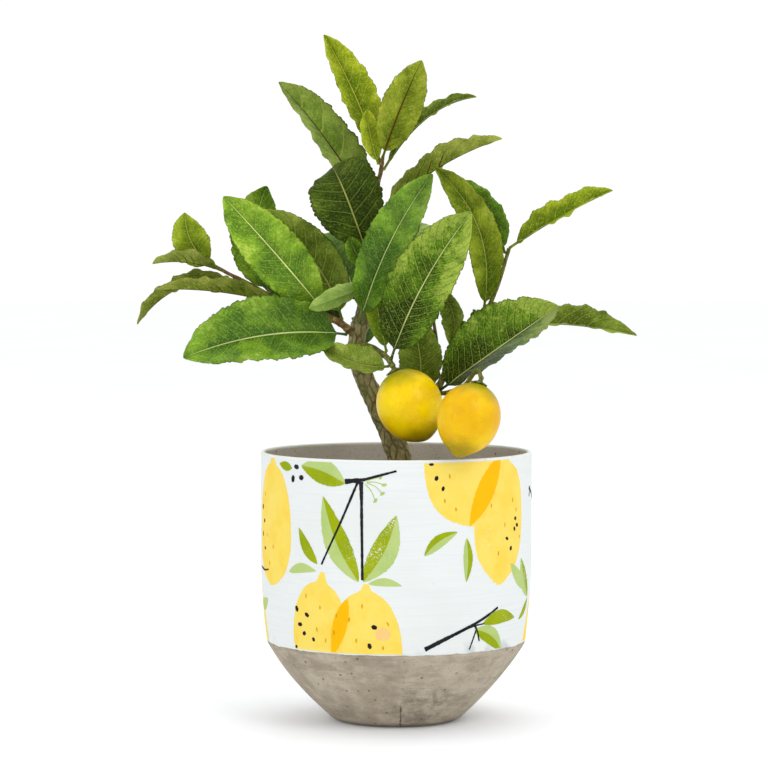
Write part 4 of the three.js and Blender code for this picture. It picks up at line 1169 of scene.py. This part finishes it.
# how a family of leaves looks: pairs of side veins; vein, margin and foot shares; gloss; upper inks and
# under inks, each base, second, vein and rib
LEAF_COLOURS = {
    "lime": (11, 0.35, 0.25, 0.15, 0.46, "4f6c08 8ea422 bccb50 c8c86a", "48600c 7c9028 a8b44c 4a2408"),
    "olive": (10, 0.45, 0.2, 0.1, 0.48, "46590e 748a2c a8b454 a8aa58", "4c6216 829244 a0ac5c 46260c"),
    "mid": (15, 0.30, 0.22, 0.1, 0.46, "305204 5a8014 98b24c b4c878", "4a681a 6c8a30 8fa050 6a6428"),
    "bright": (15, 0.15, 0.16, 0.12, 0.34, "345c04 6c951c a4be54 c8d48e", "4a681a 6c8a30 8fa050 6a6428"),
    "net": (17, 0.70, 0.26, 0.62, 0.42, "142e02 48700e a4ba50 c4d08c", "48601c 5f7830 8f9f4c 5e4c22"),
    "brown": (5, 0.22, 0.12, 0.1, 0.48, "50701c 88a050 a6b466 2c1206", "4c6a1c 7d9440 9cac58 3a1c0c"),
    # dark: the greens darkened as painted shade, for leaves that sit in shade
    "dark": (9, 0.60, 0.10, 0.15, 0.48, "1e3004 3c5410 7c8e3c a2aa5c", "3c5416 567028 75863e 5e4c22"),
    "pale": (9, 0.20, 0.2, 0.1, 0.5, "547c1c 86a840 b8d070 c8d88a", "7a9c40 a0ba5c bccc80 8a9a4a"),
}
# the material slot of a family that has none of its own name
LEAF_SLOTS = {"bright": "mid", "net": "mid", "brown": "olive"}


def leaf_materials():
    """An upper and an under finish for each family."""
    made = {}
    for name, (pairs, veins, margin, foot, gloss, upper, under) in LEAF_COLOURS.items():
        shares = (pairs, veins, margin, foot)
        made[name] = [leaf_finish("leaf_%s_upper" % name, upper.split(), gloss, *shares, name == "brown"),
                      leaf_finish("leaf_%s_under" % name, under.split(), 0.62, *shares, True)]
    return made


def make_leaves():
    """Each leaf's tone attribute is its tone from the table, varied by a smooth noise and evenly across and
    along the blade; the change across paints light on one half of the leaf and shade on the other."""
    finishes = leaf_materials()
    for order, (name, row) in enumerate(LEAVES.items()):
        shell, under = leaf_shell(name, order)
        family, tone = row[9:]
        thing = mesh_object(name + "_blade", shell, finishes[family], face_material=under)
        layer = thing.data.attributes.new("tone", "FLOAT_COLOR", "POINT")
        warm, side_light, ahead = TONES.get(name, (0.0, 0.0, 0.0))
        u, v = shell.values["uv"].T
        # side_light: painted light on one half of the blade and painted shade on the other
        shade = tone * (1 + 0.15 * ripple(50 + order, 34, *shell.points.T)
                        + side_light * (2 * v - 1) + ahead * (2 * u - 1))
        values = np.ones((len(shade), 4), np.float32)
        values[:, :3] = np.clip(shade, 0, 1.9)[:, None] * np.array([1 + warm, 1 - warm / 4, 1 - 3 * warm])
        layer.data.foreach_set("color", values.ravel())
        fitted(thing, STEMS[row[0]][5], "leaf_" + LEAF_SLOTS.get(family, family), name)


def turned_to(axis):
    """Three directions of which the last is axis."""
    axis = unit(np.array(axis, float))
    first = unit(np.cross(axis, [0.0, 1.0, 0.0]))
    return np.array([first, np.cross(axis, first), axis])


def make_lemons():
    """Lemon: a spun oval with a nib at its foot and a shallow dimple under the stalk, its radius uneven
    by a smooth noise."""
    t = np.linspace(0, np.pi, 98)[1:-1]
    turn = full_turn(128)
    for label, (_, centre, direction, half_width, half_length, nib) in LEMONS.items():
        tail = nib * np.exp(-(t / 0.30) ** 2) + 0.25 * nib * np.exp(-(t / 0.62) ** 2)
        dimple = 0.9 * np.exp(-((np.pi - t) / 0.16) ** 2)
        z = -half_length * np.cos(t) - tail - dimple
        radius = half_width * np.sin(t)[:, None]
        local = np.stack(np.broadcast_arrays(radius * np.cos(turn), radius * np.sin(turn), z[:, None]), -1)
        local = local * (1 + 0.008 * ripple(70, 30, *np.moveaxis(local, -1, 0)))[..., None]
        shell = capped_tube(local @ turned_to(direction) + lifted(centre)).outward()
        finish = lemon_finish(label, unit(np.array(direction)), lifted(centre))
        thing = mesh_object("lemon_%s_fruit" % label, shell, [finish])
        fitted(thing, "lemon_" + label, "lemon_skin", "lemon_" + label)


def make_calyxes():
    """Calyx: a five-lobed cap whose radius is a cosine of the angle, drawn up into a short stub that ends
    in a ball on the joint."""
    finish = bark_finish("calyx_skin", "5f6b2a", "7a7a38", "45401f", 1.0, 0.15)
    turn = full_turn(60)
    lobes = 0.24 * np.cos(5 * turn) + 0.05 * np.cos(11 * turn)
    profile = np.array([(3.4, -0.35), (4.3, -0.1), (4.5, 0.35), (3.6, 0.85), (2.6, 1.15), (1.7, 1.6),
                        (1.35, 2.3), (1.3, 3.2)])
    share = smooth_step(1.4, 3.4, profile[:, :1])
    radius = profile[:, :1] * (1 + lobes * share)
    for label, (twig, centre, direction, _, half_length, _) in LEMONS.items():
        z = profile[:, 1:] - 0.35 * share * np.cos(5 * turn) + half_length + 0.1
        local = np.stack([radius * np.cos(turn), radius * np.sin(turn), z], -1)
        cap = capped_tube(local @ turned_to(direction) + lifted(centre)).outward()
        shell = joined([cap, knuckle(joint_of(label), ROUTES[twig][2] + 0.35)])
        thing = mesh_object("calyx_%s_cap" % label, shell, [finish])
        fitted(thing, "lemon_" + label, "calyx", "calyx_" + label)


def dress_ballast():
    """The filler stays a CAD node and takes a plaster finish."""
    finish = grainy_finish("plaster_filler", "9a958c", "8a857b", "706a60", 70, 0.9, 0.3)
    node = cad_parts["ballast"]
    if not node.material_slots:
        node.data.materials.append(finish)
    for holder in node.material_slots:
        holder.material = finish


# ------------------------------------------------------------------ the stage
def make_stage():
    """Floor: a wide disc of rings about its middle. Light: an even sky and three soft lamps."""
    stage = settings().stage
    radii = np.array([0.05, 0.2, 0.6, 1.5, 4.0, 12.0]) / MM
    sides = 96
    points = about_z(radii[:, None], full_turn(sides), -FLOOR_DROP).reshape(-1, 3)
    points = np.vstack([points, [[0, 0, -FLOOR_DROP]]])
    j = np.arange(sides)
    middle = np.stack([np.full(sides, len(points) - 1), j, (j + 1) % sides], -1)
    quads = grid_quads(len(radii), sides, close_columns=True)[:, ::-1]
    f = Finish("pale_floor", 0.9, 0.1)
    f.colour(f.mix(f.band(f.noise(3, 2, 0.5), 0.3, 0.7), rgb("f3f5f8"), rgb("f1f3f6")))
    f.shader.inputs["Emission Color"].default_value = (0.96, 0.98, 1.0, 1.0)
    f.shader.inputs["Emission Strength"].default_value = 0.06
    floor = mesh_object("floor", Shell(points, quads, middle), [f.material])
    world = bpy.context.scene.world or bpy.data.worlds.new("studio")
    bpy.context.scene.world = world
    bpy.context.scene.view_settings.view_transform = "Standard"
    world.use_nodes = True
    sky = world.node_tree.nodes["Background"]
    sky.inputs["Color"].default_value = (1.0, 1.0, 1.0, 1.0)
    sky.inputs["Strength"].default_value = stage.sky
    for name, place, aim, size, power in (
            ("key", (1.1, -1.6, 1.9), (0, 0, 0.2), 1.2, stage.key),
            ("fill", (-1.8, -1.4, 1.1), (0, 0, 0.2), 1.6, stage.key * 0.45),
            ("top", (0.1, 0.5, 2.4), (0, 0, 0.1), 1.8, stage.key * 0.55)):
        light = bpy.data.lights.new(name, "AREA")
        light.shape, light.size, light.energy = "DISK", size, power
        lamp = bpy.data.objects.new(name, light)
        lamp.location = place
        lamp.rotation_euler = vector_turn(np.array(aim, float) - np.array(place, float))
        bpy.context.scene.collection.objects.link(lamp)
    camera = bpy.data.cameras.new("camera")
    camera.sensor_width, camera.lens = 36.0, stage.lens
    camera.clip_end = 60.0
    eye = bpy.data.objects.new("camera", camera)
    eye.location = CAMERA_PLACE
    eye.rotation_euler = (np.pi / 2 - stage.pitch, 0, 0)
    bpy.context.scene.collection.objects.link(eye)
    bpy.context.scene.camera = eye


def vector_turn(way):
    """Turn about X then Z that points a lamp's -Z along way."""
    flat = np.hypot(way[0], way[1])
    return (np.arctan2(flat, -way[2]), 0.0, np.arctan2(-way[0], way[1]))


# ------------------------------------------------------------------ the add-on
class PotSizes(bpy.types.PropertyGroup):
    cement: bpy.props.FloatVectorProperty(name="Cement", description="Colour of the cast cement",
                                          subtype="COLOR", size=3, min=0, max=1, default=rgb("b5a997")[:3])
    unevenness: bpy.props.FloatProperty(name="Unevenness", description="How far the cast wall wanders",
                                        unit="LENGTH", default=0.00022, min=0, max=0.0006, precision=5)


class BandSizes(bpy.types.PropertyGroup):
    ground: bpy.props.FloatVectorProperty(name="Ground", description="Colour behind the print",
                                          subtype="COLOR", size=3, min=0, max=1, default=rgb("dfe2e0")[:3])
    ink_height: bpy.props.FloatProperty(name="Ink height", description="How thick a layer of ink is",
                                        unit="LENGTH", default=INK_HEIGHT, min=0.00005, max=0.0003,
                                        precision=5)


class PlantSizes(bpy.types.PropertyGroup):
    lemon: bpy.props.FloatVectorProperty(name="Lemon", description="Colour of the lemon skin",
                                         subtype="COLOR", size=3, min=0, max=1, default=rgb("f4d400")[:3])
    leaf_scale: bpy.props.FloatProperty(name="Leaf width", description="Width of every leaf blade",
                                        subtype="FACTOR", default=1.0, min=0.8, max=1.05)


class StageSizes(bpy.types.PropertyGroup):
    key: bpy.props.FloatProperty(name="Key light", description="Power of the main soft light",
                                 unit="POWER", default=11.0, min=0)
    sky: bpy.props.FloatProperty(name="Sky", description="Strength of the light from all round",
                                 subtype="FACTOR", default=1.04, min=0, soft_max=2)
    lens: bpy.props.FloatProperty(name="Lens", description="Focal length of the camera",
                                  unit="CAMERA", default=142.97, min=20)
    pitch: bpy.props.FloatProperty(name="Pitch", description="How far the camera looks down",
                                   unit="ROTATION", subtype="ANGLE", default=np.radians(2.76))


class LemonPotSettings(bpy.types.PropertyGroup):
    pot: bpy.props.PointerProperty(type=PotSizes, name="Pot", description="Sizes of the cement pot")
    band: bpy.props.PointerProperty(type=BandSizes, name="Print", description="Sizes of the printed band")
    plant: bpy.props.PointerProperty(type=PlantSizes, name="Plant", description="Sizes of the lemon tree")
    stage: bpy.props.PointerProperty(type=StageSizes, name="Stage", description="Lights and camera")


class LEMONPOT_OT_cement(bpy.types.Operator):
    """Make the cast cement pot"""
    bl_idname = "lemonpot.cement"
    bl_label = "Cement body"

    def execute(self, context):
        make_cement()
        return {"FINISHED"}


class LEMONPOT_OT_band(bpy.types.Operator):
    """Make the printed band and its inks"""
    bl_idname = "lemonpot.band"
    bl_label = "Printed band"

    def execute(self, context):
        make_ground()
        make_print()
        return {"FINISHED"}


class LEMONPOT_OT_filling(bpy.types.Operator):
    """Make the nursery pot, its filler and the bedding"""
    bl_idname = "lemonpot.filling"
    bl_label = "Nursery pot and bedding"

    def execute(self, context):
        make_grower()
        dress_ballast()
        make_soil()
        make_chips()
        return {"FINISHED"}


class LEMONPOT_OT_stems(bpy.types.Operator):
    """Make the trunk, branches and twigs"""
    bl_idname = "lemonpot.stems"
    bl_label = "Trunk and twigs"

    def execute(self, context):
        lay_routes()
        make_stems()
        return {"FINISHED"}


class LEMONPOT_OT_leaves(bpy.types.Operator):
    """Make the leaves"""
    bl_idname = "lemonpot.leaves"
    bl_label = "Leaves"

    def execute(self, context):
        lay_routes()
        make_leaves()
        return {"FINISHED"}


class LEMONPOT_OT_lemons(bpy.types.Operator):
    """Make the two lemons and their calyxes"""
    bl_idname = "lemonpot.lemons"
    bl_label = "Lemons"

    def execute(self, context):
        lay_routes()
        make_lemons()
        make_calyxes()
        return {"FINISHED"}


class LEMONPOT_OT_stage(bpy.types.Operator):
    """Set the floor, the lights and the camera"""
    bl_idname = "lemonpot.stage"
    bl_label = "Stage"

    def execute(self, context):
        make_stage()
        return {"FINISHED"}


PIECES = (LEMONPOT_OT_stage, LEMONPOT_OT_cement, LEMONPOT_OT_band, LEMONPOT_OT_filling,
          LEMONPOT_OT_stems, LEMONPOT_OT_leaves, LEMONPOT_OT_lemons)


class LEMONPOT_PT_panel(bpy.types.Panel):
    """Lists the pieces and their sizes"""
    bl_idname = "LEMONPOT_PT_panel"
    bl_label = "Lemon Pot"
    bl_space_type = "VIEW_3D"
    bl_region_type = "UI"
    bl_category = "Lemon Pot"

    def draw(self, context):
        chosen = context.scene.lemon_pot
        for group in (chosen.pot, chosen.band, chosen.plant, chosen.stage):
            box = self.layout.box()
            for key in group.__annotations__:
                box.prop(group, key)
        for piece in PIECES:
            self.layout.operator(piece.bl_idname)


CLASSES = (PotSizes, BandSizes, PlantSizes, StageSizes, LemonPotSettings, *PIECES, LEMONPOT_PT_panel)


def register():
    for made in CLASSES:
        bpy.utils.register_class(made)
    bpy.types.Scene.lemon_pot = bpy.props.PointerProperty(type=LemonPotSettings)


def unregister():
    del bpy.types.Scene.lemon_pot
    for made in reversed(CLASSES):
        bpy.utils.unregister_class(made)


def main():
    register()
    for piece in PIECES:
        area, name = piece.bl_idname.split(".")
        getattr(getattr(bpy.ops, area), name)()


if __name__ == "__main__":
    main()
